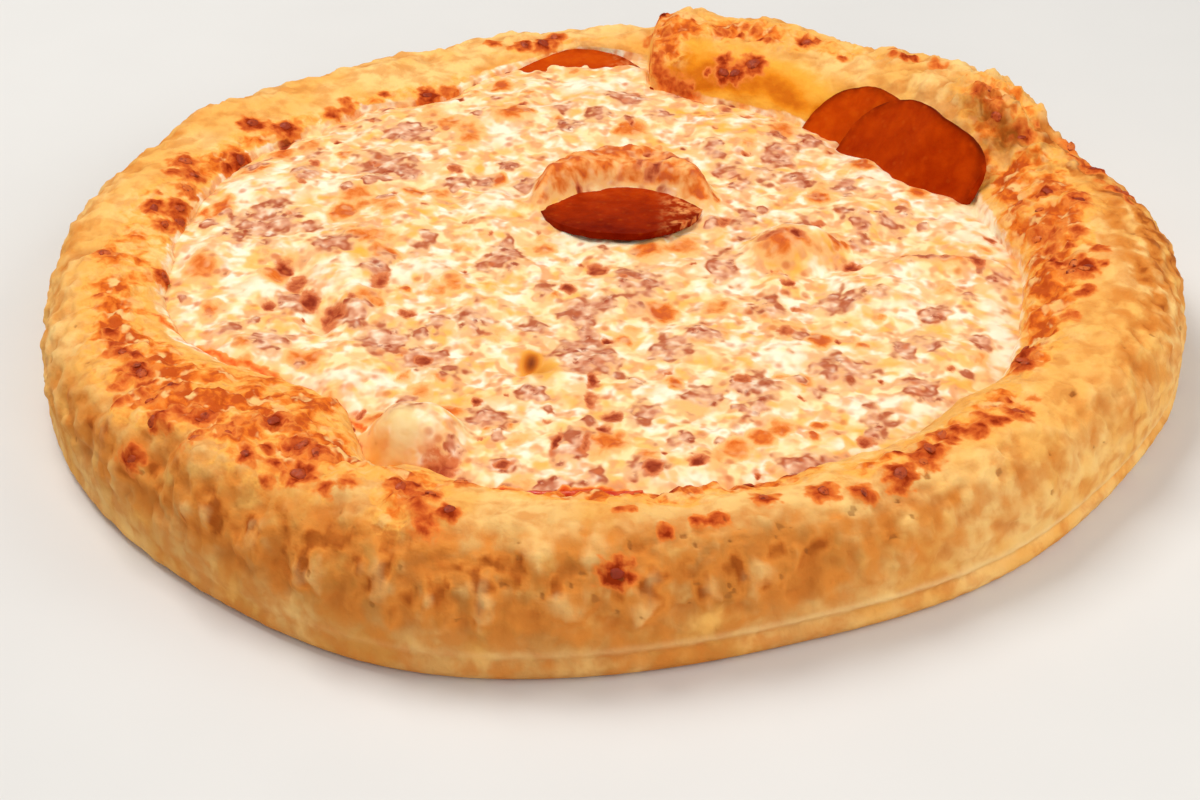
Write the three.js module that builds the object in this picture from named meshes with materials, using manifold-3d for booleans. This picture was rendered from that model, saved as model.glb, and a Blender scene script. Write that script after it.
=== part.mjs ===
// A pan pizza: a tall, uneven crust with a folded stretch, a filling of baked cheese
// in its well, and four pepperoni slices that show on and in the cheese.
// Millimetres, +Z up. Angles are in degrees, anticlockwise from +X, seen from above.
import * as THREE from 'three';
import { ParametricGeometry } from 'three/addons/geometries/ParametricGeometry.js';
import { mergeVertices } from 'three/addons/utils/BufferGeometryUtils.js';
import Module from 'manifold-3d';

const wasm = await Module();
wasm.setup();

// ---- driving dimensions ----

const OUTER_RADIUS = 159;
const CREST_RADIUS = 139;
const CREST_HEIGHT = 28;
const WELL_RADIUS = 121;
const FLOOR_HEIGHT = 15;
const CHEESE_LEVEL = 24;
const GAP = 0.35;
const SLICE_THICKNESS = 2.2;

// Where the middle of the whole outline lies, from the middle of the well.
const OUTLINE_MIDDLE = { x: 5.45, y: -3.95 };

const FOOT_ROUND = 4;
// The groove over the foot's lip is deepest at the front right.
const LEDGE = { height: 6.5, depth: 1.6, least: 0.4, at: -45, spread: 50, top: 9 };
const FLOOR_TUCK = 4;
const OUTER_SQUARENESS = 2.7;
const INNER_SQUARENESS = 1.6;

const ROUND_SEGMENTS = 108;
const OUTER_STEPS = 9;
const INNER_STEPS = 7;
const CHEESE_RINGS = 15;
const SLICE_SEGMENTS = 32;
const SLICE_RINGS = 3;

// Slow changes round the rim: the change in millimetres at the middle of each swell.
const OUTER_SWELLS = [
  { at: -108, spread: 16, by: 5 },
  { at: -70, spread: 16, by: -4 },
  { at: -12, spread: 14, by: 6 },
  { at: 180, spread: 25, by: -4 },
  { at: 120, spread: 36, by: -11 },
  { at: 4, spread: 10, by: 4 },
  { at: 68, spread: 16, by: -5 },
  { at: 20, spread: 9, by: -3 },
];
const CREST_SWELLS = [
  { at: 122, spread: 30, by: -9 },
  { at: 4, spread: 10, by: 4 },
  { at: 70, spread: 14, by: -4 },
];
const HEIGHT_SWELLS = [
  { at: -90, spread: 70, by: 8 },
  { at: 0, spread: 30, by: 7 },
  { at: 29, spread: 5, by: 4 },
  { at: 40, spread: 8, by: 3 },
  { at: 53, spread: 4, by: -1.5 },
  { at: 77, spread: 3, by: 2.5 },
  { at: 112, spread: 26, by: -2 },
  { at: -133, spread: 9, by: 2 },
];
const WELL_SWELLS = [
  { at: 117, spread: 8, by: -11 },
  { at: 91, spread: 9, by: 12 },
  { at: 80, spread: 5, by: 4 },
  { at: 136, spread: 9, by: -5 },
  { at: 12, spread: 8, by: -5 },
  { at: -33, spread: 12, by: 4 },
  { at: -111, spread: 5, by: -7 },
  { at: -129, spread: 9, by: -15 },
  { at: -142, spread: 11, by: -14 },
];

// The stretch where the dough is folded over: it ends square at its left, and tails off at its right.
const FOLD = { from: 28, to: 81, tail: 12, end: 1.6, lift: 7.5, inward: 17, crestInward: 8 };

// Lumps and dents of the rim, spread evenly with seeded draws.
const RIM_LUMPS = { count: 60, seed: 7, size: [7, 15], lift: [-1.2, 2.4], low: 15, high: 165 };
const RIM_CORE = { radius: 138, height: 15 };

// Single forms of the rim that stand out more.
const RIM_FEATURES = [
  { angle: 31, across: 80, size: 8, lift: 4 },
  { angle: 24, across: 88, size: 7, lift: 3 },
  { angle: 17, across: 95, size: 6, lift: 2.5 },
  { angle: 20, across: 130, size: 6, lift: -4 },
  { angle: 66, across: 70, size: 9, lift: 2 },
  { angle: 46, across: 155, size: 11, lift: -4.5 },
  { angle: 36, across: 152, size: 12, lift: -3.5 },
  { angle: 26, across: 152, size: 12, lift: -3.5 },
  { angle: -117, across: 155, size: 10, lift: -2 },
  { angle: -129, across: 60, size: 12, lift: 2.5 },
  { angle: -141, across: 55, size: 12, lift: 2.5 },
  { angle: -135, across: 45, size: 6, lift: -3 },
  { angle: -123, across: 50, size: 6, lift: -2.5 },
  { angle: 6, across: 140, size: 10, lift: 3 },
  { angle: -12, across: 150, size: 9, lift: 2.5 },
];

// Forms of the cheese: [x, y] is the middle, and reach is its half width along x and y.
const CHEESE_FEATURES = [
  { name: 'puffed bubble', x: 56, y: 3, reach: [12, 9], lift: 7, flat: 2 },
  { name: 'dome by the rim', x: -46, y: -92, reach: [11, 9], lift: 9, flat: 2 },
  { name: 'hollow by the dome', x: -52, y: -104, reach: [9, 6], lift: -5, flat: 1.4 },
  { name: 'hole', x: -19, y: -58, reach: [5, 4], lift: -4, flat: 1.4 },
  { name: 'oil pool', x: 69, y: -4, reach: [9, 6], lift: -2, flat: 1.4 },
  { name: 'groove, far end', x: -85, y: -10, reach: [5, 9], lift: -2.5, flat: 1.4 },
  { name: 'groove, near end', x: -75, y: -30, reach: [5, 8], lift: -2.5, flat: 1.4 },
  { name: 'ridge by the groove', x: -68, y: -18, reach: [7, 11], lift: 2.5, flat: 1.4 },
  { name: 'wrinkle', x: 97, y: -6, reach: [15, 4], lift: 3, flat: 1.4 },
  { name: 'bed of the centre slice', x: 7.5, y: 26, reach: [20, 13], lift: -1.6, flat: 2 },
  { name: 'dip that bares the back slice', x: -8, y: 133, reach: [24, 7], lift: -1.6, flat: 2 },
  { name: 'swell, front', x: 5, y: -80, reach: [45, 25], lift: 1.5, flat: 1.4 },
  { name: 'swell, left', x: -60, y: 20, reach: [35, 40], lift: 1.5, flat: 1.4 },
  { name: 'swell, back', x: -20, y: 85, reach: [50, 20], lift: 1.2, flat: 1.4 },
];
// Browned cheese over the back of the centre slice: a crescent between two circles.
const MOUND = { x: 8, y: 32.5, radius: 25, bareY: 14.2, bareRadius: 27, lift: 6.5, edge: 7 };
const BLISTERS = { count: 110, seed: 21, size: [6, 11], lift: [-0.7, 1.8] };
// Near the wall the cheese sinks a little and its forms fade out.
const EDGE_DIP = { reach: 8, depth: 1.4 };

// Slices on the rim's inner wall: the flat part lies in the cheese, and the rest leans on the wall.
// The right one lies on the left one, so its bend is tighter by their distance.
const SLICE_STEP = 2.9;
const WALL_SLICES = [
  { name: 'pepperoni_rim_left', angle: 40, inset: 10, level: 17.4, lean: 52, bend: 12,
    along: 25, across: 25, up: 6.5 },
  { name: 'pepperoni_rim_right', angle: 29.5, inset: 10, level: 17.4 + SLICE_STEP, lean: 52,
    bend: 12 - SLICE_STEP, along: 27, across: 25, up: 6.5 },
];
// Slices that lie flat: rise is the slope away from the near edge, and droop lowers the edge.
const FLAT_SLICES = [
  { name: 'pepperoni_center', x: 7.5, y: 32.3, level: 24.2, radius: 25, rise: -0.1, droop: 0.3 },
  { name: 'pepperoni_back', x: -6.5, y: 107, level: 21, radius: 25, rise: 0.1, droop: 0 },
];

const FINISH = {
  crust: { color: 0xd99a52, roughness: 0.85 },
  cheese: { color: 0xf3d9a0, roughness: 0.45 },
  pepperoni: { color: 0xa63a12, roughness: 0.5 },
};

// ---- small helpers ----

const radians = THREE.MathUtils.degToRad;
const wrapAngle = (angle) => ((angle % 360) + 540) % 360 - 180;
const bell = (distance) => Math.exp(-distance * distance);
const smooth = (value) => THREE.MathUtils.smoothstep(value, 0, 1);

// Seeded draws in 0..1, the same sequence on every run.
function draws(seed) {
  let state = seed * 7919 + 1;
  return () => {
    state = (state * 16807) % 2147483647;
    return state / 2147483647;
  };
}

const between = ([low, high], draw) => low + (high - low) * draw;

function swelled(base, swells, angle) {
  let value = base;
  for (const { at, spread, by } of swells) value += by * bell(wrapAngle(angle - at) / spread);
  return value;
}

// 1 along the fold, falling to 0 past its square end and along its tail.
function foldShare(angle) {
  const turned = wrapAngle(angle);
  const tail = smooth((turned - (FOLD.from - FOLD.tail)) / FOLD.tail);
  const end = smooth((FOLD.to + FOLD.end - turned) / FOLD.end);
  return tail * end;
}

// ---- the rim's size round the pizza ----

const outerRadius = (angle) => swelled(OUTER_RADIUS, OUTER_SWELLS, angle);
const crestHeight = (angle) => swelled(CREST_HEIGHT, HEIGHT_SWELLS, angle) + FOLD.lift * foldShare(angle);
const crestRadius = (angle) => swelled(CREST_RADIUS, CREST_SWELLS, angle) - FOLD.crestInward * foldShare(angle);
const wellRadius = (angle) => swelled(WELL_RADIUS, WELL_SWELLS, angle) - FOLD.inward * foldShare(angle);

// The place on the rim's rounded top: across is 0 low on the outer wall, 90 on the crest
// and 180 where the cheese meets the inner wall.
function rimPlace(angle, across) {
  const turn = radians(across);
  const crest = crestRadius(angle);
  const height = crestHeight(angle);
  const outside = across <= 90;
  const squareness = outside ? OUTER_SQUARENESS : INNER_SQUARENESS;
  const start = outside ? LEDGE.top : CHEESE_LEVEL;
  const reach = outside ? outerRadius(angle) - crest : wellRadius(angle) - crest;
  return {
    radius: crest + reach * Math.abs(Math.cos(turn)) ** (2 / squareness),
    height: start + (height - start) * Math.sin(turn) ** (2 / squareness),
  };
}

function atAngle(radius, angle, height) {
  const turn = radians(angle);
  return new THREE.Vector3(radius * Math.cos(turn), radius * Math.sin(turn), height);
}

function rimLumps() {
  const draw = draws(RIM_LUMPS.seed);
  const lumps = RIM_FEATURES.map((feature) => ({ ...feature }));
  for (let i = 0; i < RIM_LUMPS.count; i += 1) {
    lumps.push({
      angle: 360 * (i + draw()) / RIM_LUMPS.count,
      across: between([RIM_LUMPS.low, RIM_LUMPS.high], draw()),
      size: between(RIM_LUMPS.size, draw()),
      lift: between(RIM_LUMPS.lift, draw()),
    });
  }
  return lumps.map(({ angle, across, size, lift }) => {
    const { radius, height } = rimPlace(angle, across);
    return { place: atAngle(radius, angle, height), size, lift };
  });
}

const LUMPS = rimLumps();

// Moves a point of the rim away from the rim's core by the lumps near it.
function lumped(point, angle) {
  const core = atAngle(RIM_CORE.radius, angle, RIM_CORE.height);
  const away = point.clone().sub(core).normalize();
  let lift = 0;
  for (const lump of LUMPS) lift += lump.lift * bell(point.distanceTo(lump.place) / lump.size);
  return point.clone().addScaledVector(away, lift);
}

// ---- solids ----

// One closed skin from a grid of points: rows run round, and the first and last close on one point.
function closedSkin(rows, segments, pointAt) {
  const skin = new ParametricGeometry((u, v, target) => {
    target.copy(pointAt(Math.round(v * rows), Math.round(u * segments) % segments));
  }, segments, rows);
  return withoutSeams(skin);
}

// Joins equal corners, drops the flat triangles at the poles and turns the faces outwards.
function withoutSeams(geometry) {
  geometry.deleteAttribute('normal');
  geometry.deleteAttribute('uv');
  const merged = mergeVertices(geometry, 1e-4);
  const corners = merged.index.array;
  const kept = [];
  for (let i = 0; i < corners.length; i += 3) {
    const [a, b, c] = corners.slice(i, i + 3);
    if (a !== b && b !== c && c !== a) kept.push(a, b, c);
  }
  merged.setIndex(kept);
  return volume(merged) < 0 ? flipped(merged) : merged;
}

function volume(geometry) {
  const corner = [0, 1, 2].map(() => new THREE.Vector3());
  const index = geometry.index.array;
  let sum = 0;
  for (let i = 0; i < index.length; i += 3) {
    corner.forEach((point, k) => point.fromBufferAttribute(geometry.attributes.position, index[i + k]));
    sum += corner[0].dot(corner[1].clone().cross(corner[2])) / 6;
  }
  return sum;
}

function flipped(geometry) {
  geometry.setIndex(Array.from(geometry.index.array).reverse());
  return geometry;
}

function toSolid(geometry) {
  return new wasm.Manifold(new wasm.Mesh({
    numProp: 3,
    vertProperties: new Float32Array(geometry.attributes.position.array),
    triVerts: new Uint32Array(geometry.index.array),
  }));
}

// The largest body of a cut solid: a cut can leave a loose scrap.
function mainBody(solid) {
  return solid.decompose().reduce((main, body) => (body.volume() > main.volume() ? body : main));
}

function toGeometry(solid) {
  const { vertProperties, triVerts } = mainBody(solid).getMesh();
  const geometry = new THREE.BufferGeometry();
  geometry.setAttribute('position', new THREE.BufferAttribute(new Float32Array(vertProperties), 3));
  geometry.setIndex(Array.from(triVerts));
  geometry.computeVertexNormals();
  return geometry;
}

// ---- crust ----

// The crust's section at one angle, from the middle of the base round to the middle of the floor.
function crustSection(angle) {
  const outer = outerRadius(angle);
  const well = wellRadius(angle);
  const section = [atAngle(0, angle, 0), atAngle(outer - FOOT_ROUND - 1, angle, 0)];
  for (const turn of [35, 65, 90]) {
    section.push(atAngle(outer - FOOT_ROUND * (1 - Math.sin(radians(turn))), angle,
      FOOT_ROUND * (1 - Math.cos(radians(turn)))));
  }
  const groove = LEDGE.least + (LEDGE.depth - LEDGE.least) * bell(wrapAngle(angle - LEDGE.at) / LEDGE.spread);
  section.push(atAngle(outer - groove, angle, LEDGE.height));
  for (let i = 0; i <= OUTER_STEPS; i += 1) section.push(rimPoint(angle, 90 * i / OUTER_STEPS));
  for (let i = 1; i < INNER_STEPS; i += 1) section.push(rimPoint(angle, 90 + 90 * i / INNER_STEPS));
  section.push(atAngle(well, angle, CHEESE_LEVEL));
  section.push(atAngle(well - FLOOR_TUCK, angle, FLOOR_HEIGHT), atAngle(0, angle, FLOOR_HEIGHT));
  return section;
}

function rimPoint(angle, across) {
  const { radius, height } = rimPlace(angle, across);
  return lumped(atAngle(radius, angle, height), angle);
}

function crust() {
  const sections = [];
  for (let i = 0; i < ROUND_SEGMENTS; i += 1) sections.push(crustSection(360 * i / ROUND_SEGMENTS));
  return closedSkin(sections[0].length - 1, ROUND_SEGMENTS, (row, segment) => sections[segment][row]);
}

// ---- cheese ----

function blisters() {
  const draw = draws(BLISTERS.seed);
  const list = [];
  for (let i = 0; i < BLISTERS.count; i += 1) {
    const radius = WELL_RADIUS * Math.sqrt((i + draw()) / BLISTERS.count) * 0.94;
    const place = atAngle(radius, 137.5 * i + 40 * draw(), 0);
    const size = between(BLISTERS.size, draw());
    list.push({ x: place.x, y: place.y, reach: [size, size], lift: between(BLISTERS.lift, draw()), flat: 1.4 });
  }
  return list;
}

const CHEESE_FORMS = [...CHEESE_FEATURES, ...blisters()];

function moundHeight(x, y) {
  const inside = smooth((MOUND.radius - Math.hypot(x - MOUND.x, y - MOUND.y)) / MOUND.edge + 0.5);
  const covered = smooth((Math.hypot(x - MOUND.x, y - MOUND.bareY) - MOUND.bareRadius) / MOUND.edge + 0.5);
  return MOUND.lift * inside * covered;
}

function cheeseHeight(x, y, toEdge) {
  let lift = moundHeight(x, y);
  for (const form of CHEESE_FORMS) {
    const away = Math.hypot((x - form.x) / form.reach[0], (y - form.y) / form.reach[1]);
    if (away < 3) lift += form.lift * Math.exp(-(away ** (form.flat * 2)) * 0.7);
  }
  const dip = EDGE_DIP.depth * bell(toEdge / EDGE_DIP.reach);
  return CHEESE_LEVEL - dip + (lift > 0 ? lift * smooth(toEdge / EDGE_DIP.reach) : lift);
}

// The cheese's side follows the well's slanting wall, at a small gap.
function sideRadius(angle, height) {
  const below = (CHEESE_LEVEL - height) / (CHEESE_LEVEL - FLOOR_HEIGHT);
  return wellRadius(angle) - FLOOR_TUCK * below - GAP;
}

function cheese() {
  const rows = CHEESE_RINGS + 2;
  const bottom = FLOOR_HEIGHT + GAP;
  return closedSkin(rows, ROUND_SEGMENTS, (row, segment) => {
    const angle = 360 * segment / ROUND_SEGMENTS;
    if (row === 0) return atAngle(0, angle, bottom);
    if (row === 1) return atAngle(sideRadius(angle, bottom), angle, bottom);
    const edge = sideRadius(angle, CHEESE_LEVEL - EDGE_DIP.depth);
    const share = 1 - (row - 2) / (rows - 2);
    const radius = share * (WELL_RADIUS + (edge - WELL_RADIUS) * share ** 3);
    const place = atAngle(radius, angle, 0);
    place.z = cheeseHeight(place.x, place.y, edge - radius);
    return share < 1 ? place : atAngle(sideRadius(angle, place.z), angle, place.z);
  });
}

// ---- pepperoni ----

// A slice as a closed skin over its middle surface: place gives that surface's point and normal.
function slice(along, across, up, place, grow = 0) {
  const half = SLICE_THICKNESS / 2 + grow;
  const rows = SLICE_RINGS * 2 + 1;
  return closedSkin(rows, SLICE_SEGMENTS, (row, segment) => {
    const under = row <= SLICE_RINGS;
    const share = (under ? row : rows - row) / SLICE_RINGS;
    const turn = 2 * Math.PI * segment / SLICE_SEGMENTS;
    const { point, normal } = place((along + grow) * share * Math.cos(turn),
      (across + grow) * share * Math.sin(turn) + up);
    return point.addScaledVector(normal, under ? -half : half);
  });
}

// Lies flat up to its fold line, then bends up the rim's inner wall and follows the wall round.
function onWall({ angle, inset, level, lean, bend }) {
  const full = radians(lean);
  return (side, t) => {
    const turned = angle - THREE.MathUtils.radToDeg(side / WELL_RADIUS);
    const fold = wellRadius(turned) - inset;
    const tilt = THREE.MathUtils.clamp(t / bend, 0, full);
    const past = Math.max(t - bend * full, 0);
    const radius = fold + Math.min(t, 0) + bend * Math.sin(tilt) + past * Math.cos(full);
    const height = level + bend * (1 - Math.cos(tilt)) + past * Math.sin(full);
    return {
      point: atAngle(radius, turned, height),
      normal: atAngle(-Math.sin(tilt), turned, Math.cos(tilt)),
    };
  };
}

// Lies flat, rising a little away from its near edge, with its edge drooping.
function lyingFlat({ x, y, level, radius, rise, droop }) {
  return (side, t) => {
    const sag = droop * (side * side + t * t) / (radius * radius);
    return {
      point: new THREE.Vector3(x + side, y + t, level + rise * t - sag),
      normal: new THREE.Vector3(0, 0, 1),
    };
  };
}

function slices() {
  const leaning = WALL_SLICES.map((spec) => ({ ...spec, place: onWall(spec) }));
  const flat = FLAT_SLICES.map((spec) => (
    { ...spec, along: spec.radius, across: spec.radius, up: 0, place: lyingFlat(spec) }));
  return [...leaning, ...flat];
}

// ---- the pizza ----

function named(name, geometry, { color, roughness }) {
  const mesh = new THREE.Mesh(geometry, new THREE.MeshStandardMaterial({ color, roughness, metalness: 0 }));
  mesh.name = name;
  return mesh;
}

const pizza = new THREE.Group();
let crustSolid = toSolid(crust());
let cheeseSolid = toSolid(cheese());
for (const { name, along, across, up, place } of slices()) {
  const room = toSolid(slice(along, across, up, place, GAP));
  crustSolid = crustSolid.subtract(room);
  cheeseSolid = cheeseSolid.subtract(room);
  pizza.add(named(name, slice(along, across, up, place), FINISH.pepperoni));
}
pizza.add(named('crust', toGeometry(crustSolid), FINISH.crust));
pizza.add(named('cheese', toGeometry(cheeseSolid), FINISH.cheese));
pizza.position.set(-OUTLINE_MIDDLE.x, -OUTLINE_MIDDLE.y, 0);

export default pizza;
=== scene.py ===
"""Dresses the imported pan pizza: its baked crust, the cheese in its well, four pepperoni
slices, a line of sauce, baked cheese crumbs on the rim, and a plain stage.

Tables of forms are in millimetres and degrees; MM turns millimetres into Blender's metres.
Angles run anticlockwise from +X, seen from above, and forms are placed from the well's middle.
"""

import functools
import math
from types import SimpleNamespace

import bpy
import numpy as np
from mathutils import Matrix, Vector, noise


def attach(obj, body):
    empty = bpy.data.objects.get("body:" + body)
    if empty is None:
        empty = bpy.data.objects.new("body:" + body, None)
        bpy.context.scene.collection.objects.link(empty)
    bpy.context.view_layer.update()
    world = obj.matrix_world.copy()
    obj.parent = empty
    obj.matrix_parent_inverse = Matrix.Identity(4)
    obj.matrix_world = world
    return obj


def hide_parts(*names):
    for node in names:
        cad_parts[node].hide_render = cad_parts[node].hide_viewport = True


bl_info = {
    "name": "Pan Pizza",
    "version": (1, 0, 0),
    "blender": (4, 5, 0),
    "location": "View3D > Sidebar > Pizza",
    "description": "Bakes a deep pan pizza with cheese, pepperoni and a browned, folded rim",
    "category": "Add Mesh",
}

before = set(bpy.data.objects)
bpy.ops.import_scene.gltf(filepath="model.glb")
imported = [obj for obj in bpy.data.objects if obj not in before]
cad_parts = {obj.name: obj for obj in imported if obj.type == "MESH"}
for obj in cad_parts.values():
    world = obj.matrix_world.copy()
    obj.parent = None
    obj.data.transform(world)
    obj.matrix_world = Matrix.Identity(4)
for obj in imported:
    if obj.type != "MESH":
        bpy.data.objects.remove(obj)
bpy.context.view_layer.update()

MM = 0.001
BODY = "root"

# ---- the rim's form, as in the solids ----

# Where the middle of the whole outline lies, from the middle of the well.
OUTLINE_MIDDLE = (5.45, -3.95)

FOOT_ROUND = 4.0
LEDGE = SimpleNamespace(height=6.5, depth=1.6, least=0.4, at=-45, spread=50, top=9.0)
LEDGE_SOFTNESS = 1.5
FLOOR_TUCK = 4.0
OUTER_SQUARENESS = 2.7
INNER_SQUARENESS = 1.6

# Slow changes round the rim: (angle, spread, change at the middle of the swell).
OUTER_SWELLS = (
    (-108, 16, 5), (-70, 16, -4), (-12, 14, 6), (180, 25, -4),
    (120, 36, -11), (4, 10, 4), (68, 16, -5), (20, 9, -3),
)
CREST_SWELLS = ((122, 30, -9), (4, 10, 4), (70, 14, -4))
HEIGHT_SWELLS = (
    (-90, 70, 8), (0, 30, 7), (29, 5, 4), (40, 8, 3),
    (53, 4, -1.5), (77, 3, 2.5), (112, 26, -2), (-133, 9, 2),
)
WELL_SWELLS = (
    (117, 8, -11), (91, 9, 12), (80, 5, 4), (136, 9, -5), (12, 8, -5),
    (-33, 12, 4), (-111, 5, -7), (-129, 9, -15), (-142, 11, -14),
)
# The dough folded over at the back right: square at its left end, tailing off at its right.
FOLD = SimpleNamespace(start=28, end=81, tail=12, square=1.6, lift=7.5, inward=17, crest_inward=8)

# Lumps and dents of the rim, spread evenly with seeded draws.
RIM_LUMPS = SimpleNamespace(count=60, seed=7, size=(7, 15), lift=(-1.2, 2.4), low=15, high=165)
RIM_CORE = (138, 15)
# Single forms that stand out more: (angle, across, size, lift).
RIM_FEATURES = (
    (31, 80, 8, 4), (24, 88, 7, 3), (17, 95, 6, 2.5), (20, 130, 6, -4), (66, 70, 9, 2),
    (46, 155, 11, -4.5), (36, 152, 12, -3.5), (26, 152, 12, -3.5), (-117, 155, 10, -2),
    (-129, 60, 12, 2.5), (-141, 55, 12, 2.5), (-135, 45, 6, -3), (-123, 50, 6, -2.5),
    (6, 140, 10, 3), (-12, 150, 9, 2.5),
)

# ---- the cheese's form, as in the solids ----

# (x, y, half width along x and y, lift, flatness of the top)
CHEESE_FEATURES = (
    (56, 3, 12, 9, 7, 2),  # puffed bubble
    (-46, -92, 11, 9, 9, 2),  # dome by the rim
    (-52, -104, 9, 6, -5, 1.4),  # hollow by the dome
    (-19, -58, 5, 4, -4, 1.4),  # hole
    (69, -4, 9, 6, -2, 1.4),  # oil pool
    (-85, -10, 5, 9, -2.5, 1.4),  # groove, far end
    (-75, -30, 5, 8, -2.5, 1.4),  # groove, near end
    (-68, -18, 7, 11, 2.5, 1.4),  # ridge by the groove
    (97, -6, 15, 4, 3, 1.4),  # wrinkle
    (7.5, 26, 20, 13, -1.6, 2),  # bed of the centre slice
    (-8, 133, 24, 7, -1.6, 2),  # dip that bares the back slice
    (5, -80, 45, 25, 1.5, 1.4),  # swell, front
    (-60, 20, 35, 40, 1.5, 1.4),  # swell, left
    (-20, 85, 50, 20, 1.2, 1.4),  # swell, back
)
# Browned cheese over the back of the centre slice: a crescent between two circles.
MOUND = SimpleNamespace(x=8, y=32.5, radius=25, bare_y=14.2, bare_radius=27, lift=6.5, edge=7)
BLISTERS = SimpleNamespace(count=110, seed=21, size=(6, 11), lift=(-0.7, 1.8), within=0.94)
EDGE_DIP = SimpleNamespace(reach=8, depth=1.4)

# ---- the slices, as in the solids ----

SLICE_STEP = 2.9
WALL_SLICES = (
    ("pepperoni_rim_left", 40, 17.4, 12, 25, 25, 6.5),
    ("pepperoni_rim_right", 29.5, 17.4 + SLICE_STEP, 12 - SLICE_STEP, 27, 25, 6.5),
)
WALL_INSET = 10
WALL_LEAN = 52
# Painted light on each slice: how brightly lit each one is painted, and how much more lit its far edge is
# painted.
SLICE_PAINTED_LIGHT = {
    "pepperoni_rim_left": (0.7, 0.0), "pepperoni_rim_right": (0.5, 0.1),
    "pepperoni_center": (0.42, 0.25), "pepperoni_back": (0.5, 0.3),
}
FLAT_SLICES = (
    ("pepperoni_center", 7.5, 32.3, 24.2, 25, -0.1, 0.3),
    ("pepperoni_back", -6.5, 107, 21, 25, 0.1, 0),
)

# ---- baked marks: where they lie ----

# Baked-on cheese and oil over the rim: (angle, spread, across, spread, amount).
OILED_ZONES = (
    (170, 20, 145, 30, 0.55), (-175, 14, 112, 22, 0.7), (-158, 11, 105, 28, 0.9),
    (-146, 9, 100, 30, 0.95), (-135, 8, 108, 32, 1.05), (-124, 7, 108, 28, 1.05),
    (-116, 6, 130, 30, 0.8), (-134, 12, 154, 22, 0.8), (-108.5, 2.6, 98, 26, 1.3),
    (-96, 8, 148, 20, 0.9),
    (-84, 9, 130, 26, 1.0), (-72, 8, 142, 22, 0.8), (-58, 5, 105, 18, 0.8),
    (-50, 5, 110, 20, 0.75), (-42, 5, 106, 20, 0.8), (-30, 6, 125, 25, 0.9),
    (-18, 8, 137, 26, 1.0), (-5, 8, 134, 30, 1.1), (8, 7, 128, 32, 1.15),
    (18, 6, 122, 30, 1.0), (27, 6, 88, 22, 0.8), (58, 9, 84, 14, 0.5),
    (70, 6, 92, 22, 0.9), (79, 3, 112, 45, 1.1), (97, 8, 112, 20, 0.45),
    (120, 12, 152, 20, 0.6), (138, 8, 155, 20, 0.6), (152, 8, 142, 20, 0.5),
)
# Dough that the heat has tanned, darkened further low on the front wall as painted shade, in the same way.
TANNED_AND_SHADED_ZONES = (
    (-118, 26, 30, 42, 0.9), (-82, 20, 34, 44, 1.4), (-50, 18, 26, 34, 0.12),
    (-150, 14, 25, 30, 0.3), (20, 12, 70, 60, 0.5), (75, 60, 20, 30, 0.4), (150, 30, 30, 30, 0.4),
)
# Browned patches of bare dough, in the same way.
GOLDEN_ZONES = (
    (-148, 14, 36, 26, 0.5), (-132, 14, 38, 28, 0.8), (-114, 14, 42, 32, 0.8),
    (-96, 14, 40, 32, 0.8), (-78, 14, 36, 32, 0.75), (-58, 14, 34, 28, 0.4),
    (-34, 18, 45, 28, 0.3), (-8, 16, 50, 32, 0.85), (8, 10, 60, 40, 1.0), (18, 8, 78, 26, 0.8),
    (26, 7, 110, 26, 0.6), (76, 6, 130, 34, 0.5), (105, 14, 150, 20, 0.35),
    (150, 20, 60, 26, 0.3), (180, 18, 55, 28, 0.35), (75, 60, 30, 30, 0.4),
)
# Deep amber faces, soaked with oil and turned away from the heat.
AMBER_ZONES = (
    (74, 8, 145, 34, 1.1), (62, 9, 145, 28, 1.0), (50, 8, 155, 22, 0.75), (36, 8, 165, 16, 0.5),
    (20, 5, 150, 22, 0.7), (126, 12, 168, 14, 0.5), (-136, 5, 158, 18, 0.5),
)
# How far across the rim the cheese ends, and how softly.
RUN_UP_END = 168
RUN_UP_BLEND = 30
# Where it has run up further or less far: (angle, spread, across where it ends).
RUN_UPS = ((-160, 22, 152), (-131, 16, 190), (-95, 12, 150), (-60, 22, 155), (-15, 25, 163),
           (15, 12, 166), (55, 22, 174), (80, 5, 186), (105, 18, 155), (145, 25, 150))
# Toasted spots and crumbs: (angle, spread, across, spread, count).
SPOT_CLUSTERS = (
    (-176, 5, 104, 8, 4), (-159, 6, 92, 10, 6), (-150, 5, 88, 12, 7), (-141, 6, 80, 14, 9),
    (-131, 6, 86, 14, 8), (-124, 5, 84, 14, 6), (-108, 3, 95, 12, 3), (-86, 2, 92, 6, 2),
    (-57, 4, 92, 8, 5), (-50, 3, 98, 8, 4), (-42, 4, 92, 9, 5), (-30, 4, 132, 12, 7),
    (-12, 6, 100, 14, 10), (-3, 6, 124, 18, 14), (6, 5, 120, 16, 12), (22, 6, 92, 14, 12),
    (68, 8, 86, 12, 8), (50, 8, 86, 10, 6), (80, 2, 100, 30, 5), (100, 8, 100, 14, 5),
    (118, 6, 155, 10, 4), (135, 8, 150, 14, 5), (172, 6, 140, 20, 6), (-100, 8, 150, 12, 5),
    (-75, 8, 145, 12, 7), (160, 8, 130, 20, 5), (14, 5, 60, 18, 6), (68, 5, 132, 10, 5), (8, 5, 70, 16, 5),
)
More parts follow.
